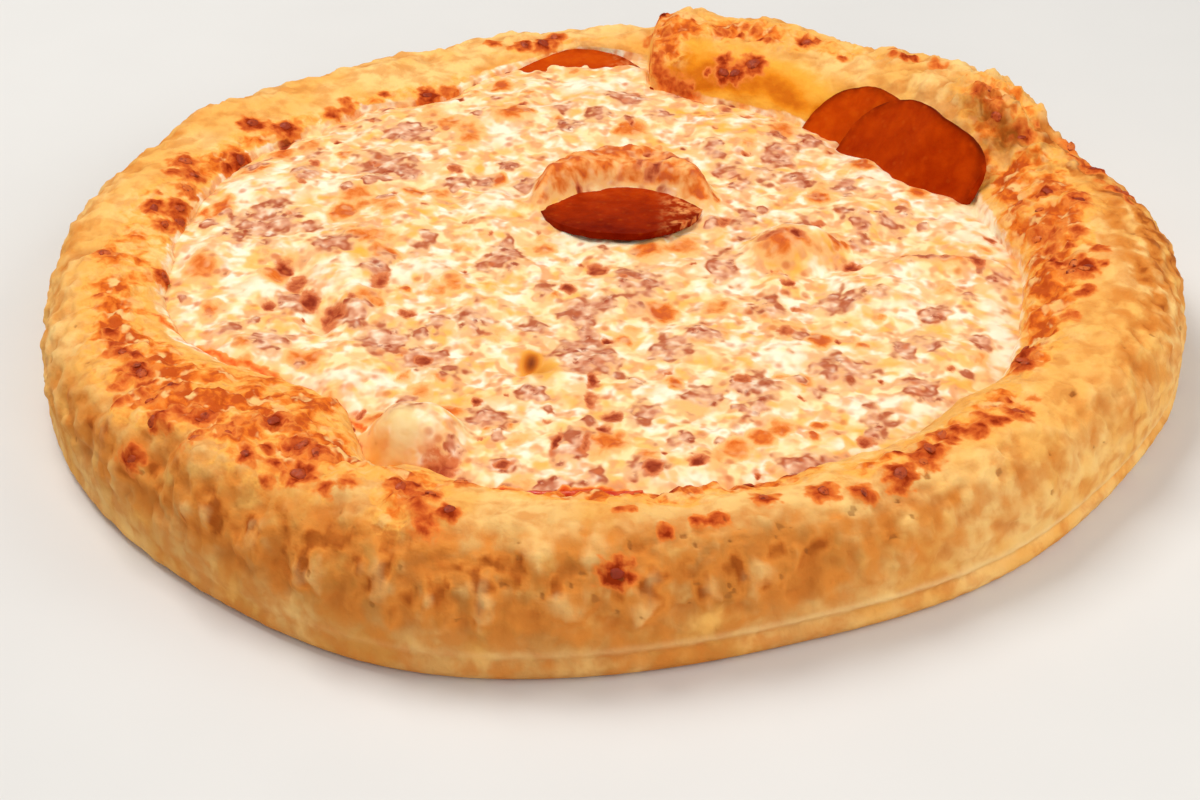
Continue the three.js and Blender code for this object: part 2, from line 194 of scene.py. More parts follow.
# Spots that stand out: (angle, across, radius, tone from 0 to 1).
SINGLE_SPOTS = (
    (-138, 38, 2.4, 0.7), (-132, 74, 2.0, 0.6), (-130, 86, 2.2, 0.5), (-129, 112, 3.4, 0.9),
    (-123, 108, 3.2, 0.6), (-120.4, 86, 3.0, 0.7), (-115, 88, 2.0, 0.6), (-116.5, 82, 1.8, 0.7),
    (-104, 84, 2.2, 0.9), (-88, 42, 2.8, 1.0), (-83.4, 70, 1.4, 0.8), (-63.3, 76, 2.2, 0.6),
    (-47.4, 88, 1.9, 0.8), (-44.7, 88, 1.8, 0.7), (-41.8, 84, 2.8, 0.6), (-53.4, 92, 3.0, 0.6),
    (-58.6, 82, 3.0, 0.7), (-78.2, 78, 1.8, 0.7), (-80, 80, 1.6, 0.6), (-67, 86, 2.6, 0.5),
    (-73, 90, 2.4, 0.5), (171, 168, 2.6, 0.7), (-174, 172, 2.8, 0.6), (152, 170, 2.6, 0.9),
    (155, 168, 1.8, 0.8), (144.5, 114, 2.8, 0.8), (158.5, 116, 3.0, 0.4), (-149.6, 94, 2.4, 0.6),
    (-142.7, 98, 2.4, 0.9), (-144, 68, 1.8, 0.5), (-135, 92, 2.4, 0.6), (-126, 80, 2.2, 0.8),
    (-121, 110, 2.6, 0.5), (-138, 74, 2.6, 0.7), (66.6, 140, 2.4, 0.9), (64.6, 128, 3.0, 0.7),
    (69.4, 126, 2.0, 0.6),
)
SPOTS = SimpleNamespace(seed=11, size=(1.0, 2.7), spread=1.5, halo=1.2, lift=0.5)
# The power of a draw that makes most of what is drawn small.
MOSTLY_SMALL = 1.6
# Small open pores in the outer wall: how many, and where they may lie.
PORES = SimpleNamespace(count=110, seed=17, angle=(-165, 25), across=(14, 78), size=(0.45, 0.95),
                        halo=0.5, depth=0.7)
# The torn, crumbly end of the fold, its burnt creases, darkened partly as painted shade in the crags, and
# their black middle, as zones.
CRAGS = ((24, 12, 85, 40, 1.0),)
BURNT = ((22, 9, 95, 24, 1.0),)
BURNT_MIDDLE = ((23.5, 4, 103, 12, 1.0),)

# Marks of the cheese that stand out, by kind: (x, y, half width along x and y).
DARK_MARKS = (
    (-88, -6, 3, 4), (-83, -14, 2.6, 5), (-79, -23, 2.6, 5), (-72, -31, 3, 5.5), (-60, -15, 2.8, 4),
    (-51, -31, 2.6, 2.6), (-46, -56, 2, 2.6), (1, -8, 2.4, 3), (-7, -18, 2, 2.2), (0, -65, 1.7, 3.6),
    (-1, -74, 1.6, 4.4), (4, -83, 2.4, 3.4), (73, -4, 3, 2.4), (97, -2, 1.6, 2.6), (107, -4, 2.2, 4.4),
    (52, -40, 2.6, 2.8), (39, -65, 1.7, 2.5), (70, -91, 2.2, 2.4), (26, -104, 2.8, 2.3),
    (14, -106, 2.4, 3), (-39, -104, 6, 3.6), (-10, -95, 1.2, 4.5), (-2, -95, 1.2, 4.5),
    (50, 3, 3.4, 1.6), (57, 1, 1.8, 2.6), (37, 20, 1.8, 2.6), (17.6, 42, 3, 2), (22, 46, 2.6, 1.4),
    (114, 11, 2, 1.6), (-23, -104, 3, 1.4),
)
MAUVE_MARKS = (
    (-95, 19, 11, 12), (-88, -46, 6, 7), (-48, 8, 3, 5), (-26, -3, 6, 8), (-33, -35, 5.5, 7.5),
    (-57, -45, 7, 8), (-46, -54, 7, 6), (-17, -38, 4, 5), (-2, -53, 9, 11), (-16, -72, 4.3, 4),
    (-28, -84, 7, 6), (-6, -96, 5.5, 6.7), (-1, -28, 8, 6), (-63, 53, 9.6, 8), (-41, 41, 5.5, 5),
    (-58, 74, 8, 6.5), (-8, 78, 4.6, 5), (-11, -112, 7, 3.4), (-23, -104, 5.5, 3), (10, 96, 6, 7),
    (36, 63, 4, 6.4), (54, 60, 6, 7.6), (44, 43, 4.5, 6), (74, 40, 4, 6), (43, 22, 4.4, 6),
    (61, 16, 5.3, 6.6), (77, 19, 3.3, 4), (85, 20, 4, 5), (76, 7, 3, 4), (93, -3, 6, 4.7),
    (48, -27, 5.5, 6.3), (67, -25, 7.3, 6), (93, -31, 4.5, 5), (20, -49, 6, 7.5), (66, -59, 9, 9),
    (86, -68, 5.3, 7), (42, -69, 7, 8), (73, -84, 4.3, 8.5), (12, -82, 5, 7), (13, -106, 6.3, 4.5),
    (54, -104, 9, 6), (12, -16, 9, 9.5), (36, -6, 4.6, 9), (83, -50, 4, 5), (104, -45, 3.5, 4.3),
    (30, -75, 4.4, 4), (-4, -32, 5.5, 7), (22, -94, 3.3, 4.5), (-74, 3, 6, 6), (-66, -32, 5, 6),
)
ORANGE_MARKS = (
    (-111, -6, 5.6, 8), (-106, -28, 3.2, 5), (-65, 7, 8, 5), (-70, 34, 5.4, 6), (-39, 72, 5, 8),
    (-59, 23, 4, 4), (28, -45, 3.5, 3.5), (21, -67, 3.2, 3), (43, -92, 4.2, 4.5), (58, -86, 2.2, 2.3),
    (-109, 28, 4, 7), (-15, 4, 4, 4), (23, 5, 4, 4), (-26, 84, 6, 6), (11, 76, 5, 7),
    (80, 53, 4, 5), (61, -108, 6, 4), (55, -65, 4, 4), (-30, 45, 4, 4), (4, -95, 5, 5),
    (-102, 52, 5, 5), (-95, 62, 5, 5), (97, -3, 13, 5), (-44, -81, 12, 3.4), (-56, -82, 6, 4),
    (53, 0, 8, 6), (-10, 44, 3, 2), (-10, 34, 3, 2.5), (-5, 40, 3, 2), (7, 49, 4, 2),
)
OIL_MARKS = (
    (27, 87, 12, 4), (-41, -18, 7, 5), (66, 0, 6, 5), (32, 27, 4, 6), (40, 75, 10, 4),
    (-14, -60, 6, 5), (62, -106, 5, 3), (-60, 70, 12, 4), (-90, 30, 14, 3), (20, 62, 10, 4),
    (0, 98, 12, 3), (78, 20, 7, 4), (-35, -75, 8, 5), (52, -6, 10, 4), (104, 4, 5, 8),
    (-15, 29, 4, 6),
)
# Shaded olive places: (x, y, half widths, how deep), and the greenish side of the dome.
OLIVE_PLACES = (
    (-17, -54.5, 2.8, 4, 1.0), (-14.5, -60, 4, 5, 0.5), (-56, -99, 5, 6, 0.3), (-51, -104, 7, 4, 0.5),
)
GREEN_PLACE = (-49, -96, 6, 6)
# Clear places, where hardly anything is browned.
CLEAR_MARKS = (
    (-99, 34, 12, 9), (-113, 0, 5, 7), (-73, -10, 7, 6), (-50, -9, 9, 8), (-92, -19, 10, 5),
    (-64, -65, 14, 4), (-29, 32, 7, 8), (-3, 8, 11, 5), (36, -8, 7, 12), (82, 56, 8, 16),
    (112, 19, 12, 12), (51, -54, 7, 8), (111, -43, 6, 22), (-31, 73, 8, 9), (1, 105, 13, 7),
    (20, -70, 6, 4), (89, -29, 11, 4), (-25, -81, 6, 5), (36, -46, 8, 4), (-1, -29, 8, 5),
    (77, -77, 14, 5), (-46, -96, 6, 6),
)
# More marks, drawn evenly over the cheese: how many of each kind, and their half widths.
MORE_MARKS = SimpleNamespace(seed=5, mauve=130, orange=150, dark=80, oil=70,
                             wide=(1.8, 5.0), small=(0.8, 1.8), within=0.98)

# Sauce that shows through: half width, how strongly, and a stroke of (x, y).
SAUCE_STROKES = (
    (1.1, 0.62, ((-119, -36), (-112, -42), (-104, -49), (-97, -54), (-89, -58), (-81, -66), (-70, -75),
                 (-63, -81), (-59, -86))),
    (1.4, 1.0, ((-36, -112), (-25, -114), (-12, -115), (0, -114), (10, -115), (22, -119))),
)
# Orange-brown marks over the rim, in the same way: a run by the dome, and a painted shadow where the fold
# meets the cheese.
DRIP_AND_SHADOW_STROKES = (
    (3.0, 0.75, ((-45, -126), (-43.5, -133), (-41.5, -139), (-39.5, -145))),
    (1.4, 0.75, ((17, 118), (20, 110), (25, 105), (30, 101))),
)
# Wet beads of sauce along the cheese's edge: (from angle, to angle, inside the edge, thickness).
SAUCE_BEADS = ((-101, -84, 6.0, 1.1), (86, 96, 0.4, 0.9))


# ---- small helpers ----


def bell(distance):
    return np.exp(-distance * distance)


def smooth(value):
    share = np.clip(value, 0.0, 1.0)
    return share * share * (3 - 2 * share)


def wrap(angle):
    return (angle % 360 + 540) % 360 - 180


# Points turned by this angle each time, and set further out each time, are spread evenly.
GOLDEN_ANGLE = 137.5


def draws(seed):
    """Seeded draws in 0..1, the same sequence as in the solids."""
    state = seed * 7919 + 1
    while True:
        state = state * 16807 % 2147483647
        yield state / 2147483647


def between(low_high, draw):
    low, high = low_high
    return low + (high - low) * draw


def swelled(base, swells, angle):
    value = base + 0.0 * angle
    for at, spread, change in swells:
        value = value + change * bell(wrap(angle - at) / spread)
    return value


def zoned(angle, across, zones):
    """The sum of the zones' amounts at each place of the rim."""
    amount = np.zeros_like(angle)
    for at, spread, middle, reach, most in zones:
        amount += most * bell(wrap(angle - at) / spread) * bell((across - middle) / reach)
    return amount


def clouds(points, size, seed, octaves=3):
    """Smooth noise of about -1 to 1 at each point, in patches of that size."""
    shift = Vector((17.3, 5.1, 9.7)) * seed
    return np.array([noise.fractal(Vector(p) / size + shift, 1.0, 2.0, octaves) for p in points])


def at_angle(radius, angle, height):
    turn = np.radians(angle)
    return np.stack((radius * np.cos(turn), radius * np.sin(turn), height + 0.0 * angle), -1)


def to_frame(points):
    """Millimetres from the well's middle to metres in the row frame."""
    return (np.asarray(points) - (*OUTLINE_MIDDLE, 0)) * MM


# ---- the rim's size round the pizza ----


def fold_share(angle):
    turned = wrap(angle)
    tail = smooth((turned - (FOLD.start - FOLD.tail)) / FOLD.tail)
    return tail * smooth((FOLD.end + FOLD.square - turned) / FOLD.square)


def rim_at(sizes, angle):
    """Outer radius, crest radius, crest height and well radius at these angles."""
    fold = fold_share(angle)
    return SimpleNamespace(
        outer=swelled(sizes.outer, OUTER_SWELLS, angle),
        crest=swelled(sizes.crest, CREST_SWELLS, angle) - FOLD.crest_inward * fold,
        top=swelled(sizes.top, HEIGHT_SWELLS, angle) + FOLD.lift * fold,
        well=swelled(sizes.well, WELL_SWELLS, angle) - FOLD.inward * fold,
        groove=LEDGE.least + (LEDGE.depth - LEDGE.least) * bell(wrap(angle - LEDGE.at) / LEDGE.spread),
    )


def rim_place(rim, across, level):
    """Radius and height on the rim's top: across is 0 low outside, 90 on the crest, 180 at the cheese."""
    turn = np.radians(across)
    outside = across <= 90
    power = 2 / np.where(outside, OUTER_SQUARENESS, INNER_SQUARENESS)
    start = np.where(outside, LEDGE.top, level)
    reach = np.where(outside, rim.outer, rim.well) - rim.crest
    radius = rim.crest + reach * np.abs(np.cos(turn)) ** power
    return radius, start + (rim.top - start) * np.abs(np.sin(turn)) ** power


def rim_point(sizes, angle, across):
    """The point on the rim's smooth top at that angle and that far across."""
    angle, across = np.asarray(angle, float), np.asarray(across, float)
    radius, height = rim_place(rim_at(sizes, angle), across, sizes.level)
    return at_angle(radius, angle, height)


def rim_lumps(sizes):
    """(places, sizes, lifts) of the rim's named forms and of its seeded lumps."""
    draw = draws(RIM_LUMPS.seed)
    lumps = list(RIM_FEATURES)
    for i in range(RIM_LUMPS.count):
        lumps.append((
            360 * (i + next(draw)) / RIM_LUMPS.count,
            between((RIM_LUMPS.low, RIM_LUMPS.high), next(draw)),
            between(RIM_LUMPS.size, next(draw)),
            between(RIM_LUMPS.lift, next(draw)),
        ))
    angle, across, size, lift = np.array(lumps, float).T
    return rim_point(sizes, angle, across), size, lift


def away_from_core(points, angle):
    away = points - at_angle(RIM_CORE[0], angle, RIM_CORE[1])
    return away / np.linalg.norm(away, axis=-1, keepdims=True)


def lump_lift(points, lumps):
    """How far the lumps near each point push it away from the rim's core."""
    lift = np.zeros(points.shape[:-1])
    for place, size, height in zip(*lumps):
        lift += height * bell(np.linalg.norm(points - place, axis=-1) / size)
    return lift


# ---- the cheese's height ----


def blisters(sizes):
    draw = draws(BLISTERS.seed)
    found = []
    for i in range(BLISTERS.count):
        radius = sizes.well * math.sqrt((i + next(draw)) / BLISTERS.count) * BLISTERS.within
        turn = math.radians(GOLDEN_ANGLE * i + 40 * next(draw))
        size = between(BLISTERS.size, next(draw))
        lift = between(BLISTERS.lift, next(draw))
        found.append((radius * math.cos(turn), radius * math.sin(turn), size, size, lift, 1.4))
    return found


def mound_share(x, y):
    """1 on the mound over the centre slice, falling to 0 past its edges."""
    inside = smooth((MOUND.radius - np.hypot(x - MOUND.x, y - MOUND.y)) / MOUND.edge + 0.5)
    bare = np.hypot(x - MOUND.x, y - MOUND.bare_y) - MOUND.bare_radius
    return inside * smooth(bare / MOUND.edge + 0.5)


def cheese_height(sizes, x, y, to_edge):
    lift = MOUND.lift * mound_share(x, y)
    for cx, cy, wide, deep, height, flat in (*CHEESE_FEATURES, *blisters(sizes)):
        away = np.hypot((x - cx) / wide, (y - cy) / deep)
        lift = lift + np.where(away < 3, height * np.exp(-(away ** (flat * 2)) * 0.7), 0)
    dip = EDGE_DIP.depth * bell(to_edge / EDGE_DIP.reach)
    return sizes.level - dip + np.where(lift > 0, lift * smooth(to_edge / EDGE_DIP.reach), lift)


# ---- modelling helpers ----


def start_afresh():
    """Leaves edit mode and deselects everything, the frame's solids among it."""
    if bpy.context.object and bpy.context.object.mode != "OBJECT":
        bpy.ops.object.mode_set(mode="OBJECT")
    bpy.ops.object.select_all(action="DESELECT")


def edit_all(piece):
    """Opens the piece for editing with all of it selected."""
    start_afresh()
    piece.select_set(True)
    bpy.context.view_layer.objects.active = piece
    bpy.ops.object.mode_set(mode="EDIT")
    bpy.ops.mesh.select_all(action="SELECT")


def close_up(piece):
    """Turns all faces outwards and leaves edit mode with smooth shading."""
    edit_all(piece)
    bpy.ops.mesh.normals_make_consistent(inside=False)
    bpy.ops.object.mode_set(mode="OBJECT")
    bpy.ops.object.shade_smooth()


def places(piece):
    """The vertices' places as rows of x, y and z."""
    flat = np.empty(len(piece.data.vertices) * 3)
    piece.data.vertices.foreach_get("co", flat)
    return flat.reshape(-1, 3)


def move_to(piece, points):
    piece.data.vertices.foreach_set("co", np.ascontiguousarray(points, float).ravel())
    piece.data.update()


def mark(piece, **shares):
    """Keeps numbers from 0 to 1 on the vertices, by name, for the finish."""
    for name, share in shares.items():
        layer = piece.data.attributes.new(name, "FLOAT", "POINT")
        layer.data.foreach_set("value", np.clip(share, 0, 1).astype(np.float32))


def drawn_line(points, widths):
    """A curve through the points, in metres, with a share of its thickness at each."""
    start_afresh()
    bpy.ops.curve.primitive_nurbs_path_add()
    piece = bpy.context.object
    piece.data.splines.clear()
    line = piece.data.splines.new("POLY")
    line.points.add(len(points) - 1)
    for corner, point, width in zip(line.points, points, widths):
        corner.co = (*point, 1)
        corner.radius = float(width)
    return piece


def joined(pieces, name):
    """Makes the pieces one, under that name."""
    start_afresh()
    for piece in pieces:
        piece.select_set(True)
    bpy.context.view_layer.objects.active = pieces[0]
    bpy.ops.object.join()
    pieces[0].name = name
    return pieces[0]


def settle(piece, *changes):
    """Applies the modifiers to the piece, in that order."""
    start_afresh()
    bpy.context.view_layer.objects.active = piece
    for change in changes:
        bpy.ops.object.modifier_apply(modifier=change.name)


def roughened(piece, label, size, depth):
    """Pushes the skin in and out by a cloud pattern of that size and depth."""
    pattern = bpy.data.textures.new(label, "CLOUDS")
    pattern.noise_scale = size * MM
    change = piece.modifiers.new(label, "DISPLACE")
    change.texture = pattern
    change.texture_coords = "LOCAL"
    change.strength = depth * MM
    change.mid_level = 0.5
    settle(piece, change)


def hand_over(piece, material, slot, *nodes):
    """Gives the piece its finish, its body and the solids it stands for. The slot is not used."""
    piece.data.materials.clear()
    piece.data.materials.append(material)
    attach(piece, BODY)
    if nodes:
        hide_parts(*nodes)


def sizes_of(scene):
    """The main sizes in millimetres."""
    crust, cheese = scene.pizza_crust, scene.pizza_cheese
    return SimpleNamespace(
        outer=crust.outer_radius / MM, crest=crust.crest_radius / MM,
        top=crust.crest_height / MM, well=crust.well_radius / MM,
        floor=crust.floor_height / MM, level=cheese.level / MM,
        thickness=scene.pizza_pepperoni.thickness / MM,
    )


# ---- finishes ----


class Finish:
    """A procedural material under construction: a colour, and what is laid over it.

    The other methods add nodes and give their output.
    """

    def __init__(self, name, colour):
        self.colour = colour
        self.material = bpy.data.materials.new(name)
        self.material.use_nodes = True
        self.tree = self.material.node_tree
        self.tree.nodes.clear()
        self.coordinates = self.add("ShaderNodeTexCoord").outputs["Object"]

    def add(self, kind, links=None, **settings):
        node = self.tree.nodes.new(kind)
        for key, value in settings.items():
            setattr(node, key, value)
        for socket, value in (links or {}).items():
            self.feed(node.inputs[socket], value)
        return node

    def feed(self, socket, value):
        if isinstance(value, bpy.types.NodeSocket):
            self.tree.links.new(value, socket)
        else:
            socket.default_value = value

    def marked(self, name):
        return self.add("ShaderNodeAttribute", attribute_name=name).outputs["Fac"]

    def stretched(self, along):
        mapping = self.add("ShaderNodeMapping", {"Vector": self.coordinates, "Scale": along})
        return mapping.outputs["Vector"]

    def grain(self, size, detail, warp=0.0, vector=None):
        """Cloud noise in patches of that many millimetres, 0 to 1."""
        return self.add("ShaderNodeTexNoise", {
            "Vector": vector or self.coordinates, "Scale": 1 / (size * MM),
            "Detail": detail, "Distortion": warp,
        }).outputs["Fac"]

    def patches(self, size, low, high, detail=2.0, warp=0.0):
        """Where cloud noise of that size is strong: 0 below low, 1 above high."""
        return self.rising(self.grain(size, detail, warp), low, high)

    def swing(self, size, detail, warp=0.0, vector=None):
        """Cloud noise of that size about 0, from -0.5 to 0.5."""
        return self.maths("SUBTRACT", self.grain(size, detail, warp, vector), 0.5)

    def cells(self, size):
        """Distance to the nearest of scattered points, in shares of their spacing."""
        return self.add("ShaderNodeTexVoronoi", {
            "Vector": self.coordinates, "Scale": 1 / (size * MM),
        }).outputs["Distance"]

    def dots(self, size, outer, inner):
        """Round dots at that spacing: 0 beyond the outer share of it, 1 within the inner one."""
        return self.rising(self.cells(size), outer, inner)

    def rising(self, value, low, high):
        """0 below low, 1 above high, and smooth between them."""
        node = self.add("ShaderNodeMapRange", {
            "Value": value, "From Min": low, "From Max": high,
        }, interpolation_type="SMOOTHSTEP")
        return node.outputs["Result"]

    def maths(self, operation, first, second):
        return self.add("ShaderNodeMath", {0: first, 1: second}, operation=operation).outputs[0]

    def product(self, *shares):
        """The shares multiplied together."""
        return functools.reduce(functools.partial(self.maths, "MULTIPLY"), shares)

    def total(self, *values):
        """The values added together."""
        return functools.reduce(functools.partial(self.maths, "ADD"), values)

    def frayed(self, name, size, amount):
        """A mark with grain added wherever it isn't nothing, for uneven edges."""
        share = self.marked(name)
        grain = self.product(self.swing(size, 4, 0.4), self.rising(share, 0.02, 0.3), amount)
        return self.total(share, grain)

    def blend(self, share, first, second):
        """Mixes two colours by the share of the second."""
        node = self.tree.nodes.new("ShaderNodeMix")
        node.data_type = "RGBA"
        self.feed(node.inputs["Factor"], share)
        colours = [socket for socket in node.inputs if socket.type == "RGBA"]
        self.feed(colours[0], first)
        self.feed(colours[1], second)
        return [socket for socket in node.outputs if socket.type == "RGBA"][0]

    def lay(self, colour, *shares):
        """Lays a colour over what is there, by the product of the shares."""
        self.colour = self.blend(self.product(*shares), self.colour, colour)

    def ramp(self, value, *stops):
        """The colour for a value, running through stops of (value, colour)."""
        node = self.add("ShaderNodeValToRGB", {"Fac": value})
        elements = node.color_ramp.elements
        while len(elements) < len(stops):
            elements.new(1.0)
        for element, (place, colour) in zip(elements, stops):
            element.position = place
            element.color = colour
        return node.outputs["Color"]

    def brown(self, share, start, *stops):
        """Lays a ramp of baked colours over what is there, from where the share starts."""
        self.lay(self.ramp(share, *stops), self.rising(share, start, stops[0][0]))

    def raised(self, height, depth, under=None):
        """A bump of that depth in millimetres, over another one if given."""
        links = {"Height": height, "Distance": depth * MM}
        if under is not None:
            links["Normal"] = under
        return self.add("ShaderNodeBump", links).outputs["Normal"]

    def done(self, **shader):
        """Closes the finish with its colour and these values of the shader."""
        body = self.add("ShaderNodeBsdfPrincipled", {"Base Color": self.colour})
        for key, value in shader.items():
            self.feed(body.inputs[key.replace("_", " ")], value)
        self.add("ShaderNodeOutputMaterial", {"Surface": body.outputs[0]})
        return self.material


def rgb(red, green, blue):
    """A linear colour from display values of 0 to 255."""
    def linear(value):
        share = value / 255
        return share / 12.92 if share <= 0.04045 else ((share + 0.055) / 1.055) ** 2.4
    return (linear(red), linear(green), linear(blue), 1.0)


def lay_cheese(bake, look):
    """Cheese from pale curd to browned skins, with oil, broken outlines and dark marks."""
    bake.colour = look.cream
    bake.lay(look.butter, bake.patches(8, 0.38, 0.6))
    bake.lay(rgb(248, 194, 130), bake.patches(4.6, 0.42, 0.64, 1.5), 0.9)
    bake.lay(rgb(249, 180, 76), bake.patches(5.6, 0.5, 0.68, 1, 0.3), 0.75)
    bake.lay(look.oil, bake.marked("oil"), bake.patches(5, 0.28, 0.56, 1), 0.9)
    bake.lay(rgb(232, 148, 90), bake.patches(3.6, 0.45, 0.68, 1), bake.patches(11, 0.36, 0.54), 0.85)
    bake.lay(look.cream, bake.marked("clear"), bake.patches(6, 0.32, 0.56, 1), 0.85)
    bake.brown(bake.frayed("orange", 3.4, 0.8), 0.0, (0.46, rgb(248, 188, 116)), (0.68, rgb(240, 154, 80)),
               (0.88, look.orange), (1.0, rgb(204, 92, 40)))
    skin = bake.total(bake.product(bake.marked("skin"), 0.9), bake.product(bake.swing(3.6, 1), 1.4))
    bake.lay(rgb(243, 184, 128), bake.rising(skin, 0.02, 0.46), 0.9)
    inner = bake.ramp(bake.grain(3, 1), (0.32, look.mauve), (0.48, rgb(224, 160, 124)),
                      (0.6, rgb(240, 194, 158)), (0.74, rgb(252, 228, 198)))
    bake.lay(inner, bake.rising(skin, 0.34, 0.8), 0.95)
    bake.lay(look.ring, bake.rising(skin, 0.2, 0.52), bake.rising(skin, 0.96, 0.56),
             bake.patches(5, 0.44, 0.62, 1), 0.85)
    bake.lay(rgb(160, 58, 28), bake.dots(4.2, 0.46, 0.12), bake.rising(skin, 0.2, 0.6),
             bake.patches(1.8, 0.4, 0.56), 0.85)
    bake.brown(bake.frayed("dark", 2.2, 0.9), 0.0, (0.5, rgb(216, 122, 72)), (0.8, rgb(172, 70, 36)),
               (1.0, rgb(138, 44, 20)))
    bake.lay(rgb(210, 108, 58), bake.dots(5, 0.36, 0.1), bake.patches(11, 0.42, 0.58), 0.7)


def bare_sauce(bake):
    """Lets the sauce show through the colour where it is marked."""
    bake.brown(bake.frayed("sauced", 2.4, 0.7), 0.12, (0.35, rgb(244, 156, 76)), (0.65, rgb(232, 102, 34)),
               (1.0, rgb(206, 58, 12)))


def crust_finish(look, cheese_look):
    bake = Finish("baked_dough", look.pale)
    bake.lay(look.tan, bake.patches(20, 0.4, 0.6))
    # Tanned dough, and painted shade that darkens the lower front wall.
    bake.lay(rgb(186, 112, 42), bake.marked("tanned"), bake.patches(12, 0.2, 0.55, 3), 0.9)
    bake.lay(rgb(214, 126, 50), bake.patches(6, 0.42, 0.66, 3, 0.3), 0.55)
    bake.brown(bake.frayed("golden", 4, 0.35), 0.0, (0.6, rgb(222, 138, 58)), (0.85, look.golden),
               (1.0, look.brown))
    # Painted shade in the dough's dents and a painted highlight on its bumps, set by the relief.
    height = bake.marked("high")
    bake.lay(rgb(196, 112, 42), bake.rising(height, 0.46, 0.2), 0.55)
    bake.lay(rgb(253, 212, 138), bake.rising(height, 0.54, 0.94), 0.5)
    bake.brown(bake.frayed("amber", 3, 0.3), 0.0, (0.5, rgb(244, 172, 62)), (0.8, rgb(232, 138, 28)),
               (1.0, rgb(208, 108, 18)))
    dough = bake.colour
    lay_cheese(bake, cheese_look)
    bake.colour = bake.blend(bake.rising(bake.frayed("cheesy", 4, 0.9), 0.35, 0.65), dough, bake.colour)
    bake.brown(bake.frayed("oiled", 3.2, 1.5), 0.06, (0.42, rgb(248, 176, 82)), (0.62, rgb(240, 142, 56)),
               (0.82, look.orange), (1.0, rgb(198, 84, 26)))
    oiled = bake.marked("oiled")
    bake.lay(rgb(254, 208, 132), oiled, bake.patches(5, 0.52, 0.64), 0.85)
    bake.lay(rgb(204, 90, 34), oiled, bake.patches(2.4, 0.55, 0.7), 0.6)
    bake.brown(bake.frayed("toast", 2.4, 1.1), 0.0, (0.42, rgb(232, 130, 54)), (0.68, rgb(208, 94, 36)),
               (0.9, rgb(176, 64, 22)), (1.0, look.toast))
    # Burnt creases of the fold's end, partly painted shade in its crags, and their black middle.
    bake.lay(rgb(150, 78, 20), bake.marked("char"))
    bare_sauce(bake)
    # Darker inside the small pores: painted shade in the holes.
    bake.lay(rgb(150, 92, 44), bake.rising(bake.marked("pore"), 0.3, 0.8), 0.5)
    # A pale line along the ledge's top: a painted highlight.
    bake.lay(rgb(253, 214, 150), bake.marked("lip"), 0.6)
    skin = bake.raised(bake.grain(3.2, 3), 0.7, bake.raised(bake.grain(1.1, 3), 0.14))
    rough = bake.maths("SUBTRACT", 0.8, bake.product(oiled, 0.2))
    return bake.done(Roughness=rough, Normal=skin, Specular_IOR_Level=0.08, Specular_Tint=rgb(255, 206, 140),
                     Subsurface_Weight=0.08, Subsurface_Radius=(1.0, 0.55, 0.25), Subsurface_Scale=2 * MM)


def cheese_finish(look):
    melt = Finish("melted_cheese", look.cream)
    lay_cheese(melt, look)
    melt.lay(rgb(240, 210, 144), melt.marked("green"), melt.patches(6, 0.25, 0.5), 0.85)
    melt.brown(melt.marked("olive"), 0.0, (0.4, rgb(234, 156, 58)), (0.7, rgb(200, 104, 20)),
               (1.0, rgb(124, 44, 4)))
    bare_sauce(melt)
    skin = melt.raised(melt.grain(4.5, 2), 0.4)
    return melt.done(Roughness=0.55, Normal=skin, Specular_IOR_Level=0.12, Specular_Tint=rgb(255, 226, 176),
                     Subsurface_Weight=0.2, Subsurface_Radius=(1.0, 0.7, 0.4), Subsurface_Scale=2 * MM)


def pepperoni_finish(look):
    meat = Finish("pepperoni", look.meat)
    mottled = meat.product(meat.swing(6, 3, 0.4), 0.45)
    streaked = meat.product(meat.swing(4, 2, 0, meat.stretched((1, 1, 0.45))), 0.25)
    # The slice's painted light sets its tone, with mottling over it.
    tone = meat.total(meat.marked("glow"), mottled, streaked)
    meat.colour = meat.ramp(tone, (0.1, look.meat_dark), (0.4, look.meat), (0.7, look.meat_light),
                            (1.0, rgb(222, 96, 10)))
    meat.lay(rgb(222, 110, 34), meat.dots(3.4, 0.28, 0.1), 0.1)
    meat.lay(look.meat_dark, meat.marked("edge"), meat.patches(5, 0.3, 0.6, 3), 0.6)
    meat.lay(rgb(88, 20, 4), meat.marked("char"), 0.8)
    thin_cheese = meat.ramp(meat.grain(2.4, 2), (0.4, rgb(206, 98, 46)), (0.6, rgb(240, 160, 92)))
    meat.lay(thin_cheese, meat.marked("veil"), meat.patches(3, 0.42, 0.62), 0.8)
    skin = meat.raised(meat.cells(2.6), 0.12, meat.raised(meat.grain(0.9, 3), 0.1))
    return meat.done(Roughness=0.5, Normal=skin, Specular_IOR_Level=0.04, Specular_Tint=rgb(255, 150, 60),
                     Subsurface_Weight=0.06, Subsurface_Radius=(1.0, 0.3, 0.15), Subsurface_Scale=1.5 * MM)


def crumb_finish(look):
    crumb = Finish("baked_crumbs", look.toast)
    crumb.colour = crumb.ramp(crumb.marked("tone"), (0.0, rgb(222, 116, 44)), (0.5, rgb(188, 76, 22)),
                              (1.0, look.toast))
    crumb.lay(rgb(132, 44, 10), crumb.patches(1.2, 0.48, 0.7, 3))
    return crumb.done(Roughness=0.5, Normal=crumb.raised(crumb.grain(0.8, 3), 0.2), Specular_IOR_Level=0.25)


def sauce_finish(look):
    sauce = Finish("tomato_sauce", look.sauce)
    sauce.lay(rgb(226, 92, 28), sauce.patches(3, 0.38, 0.62, 3))
    return sauce.done(Roughness=0.3, Normal=sauce.raised(sauce.grain(1.4, 3), 0.25), Specular_IOR_Level=0.45)


# ---- the crust ----

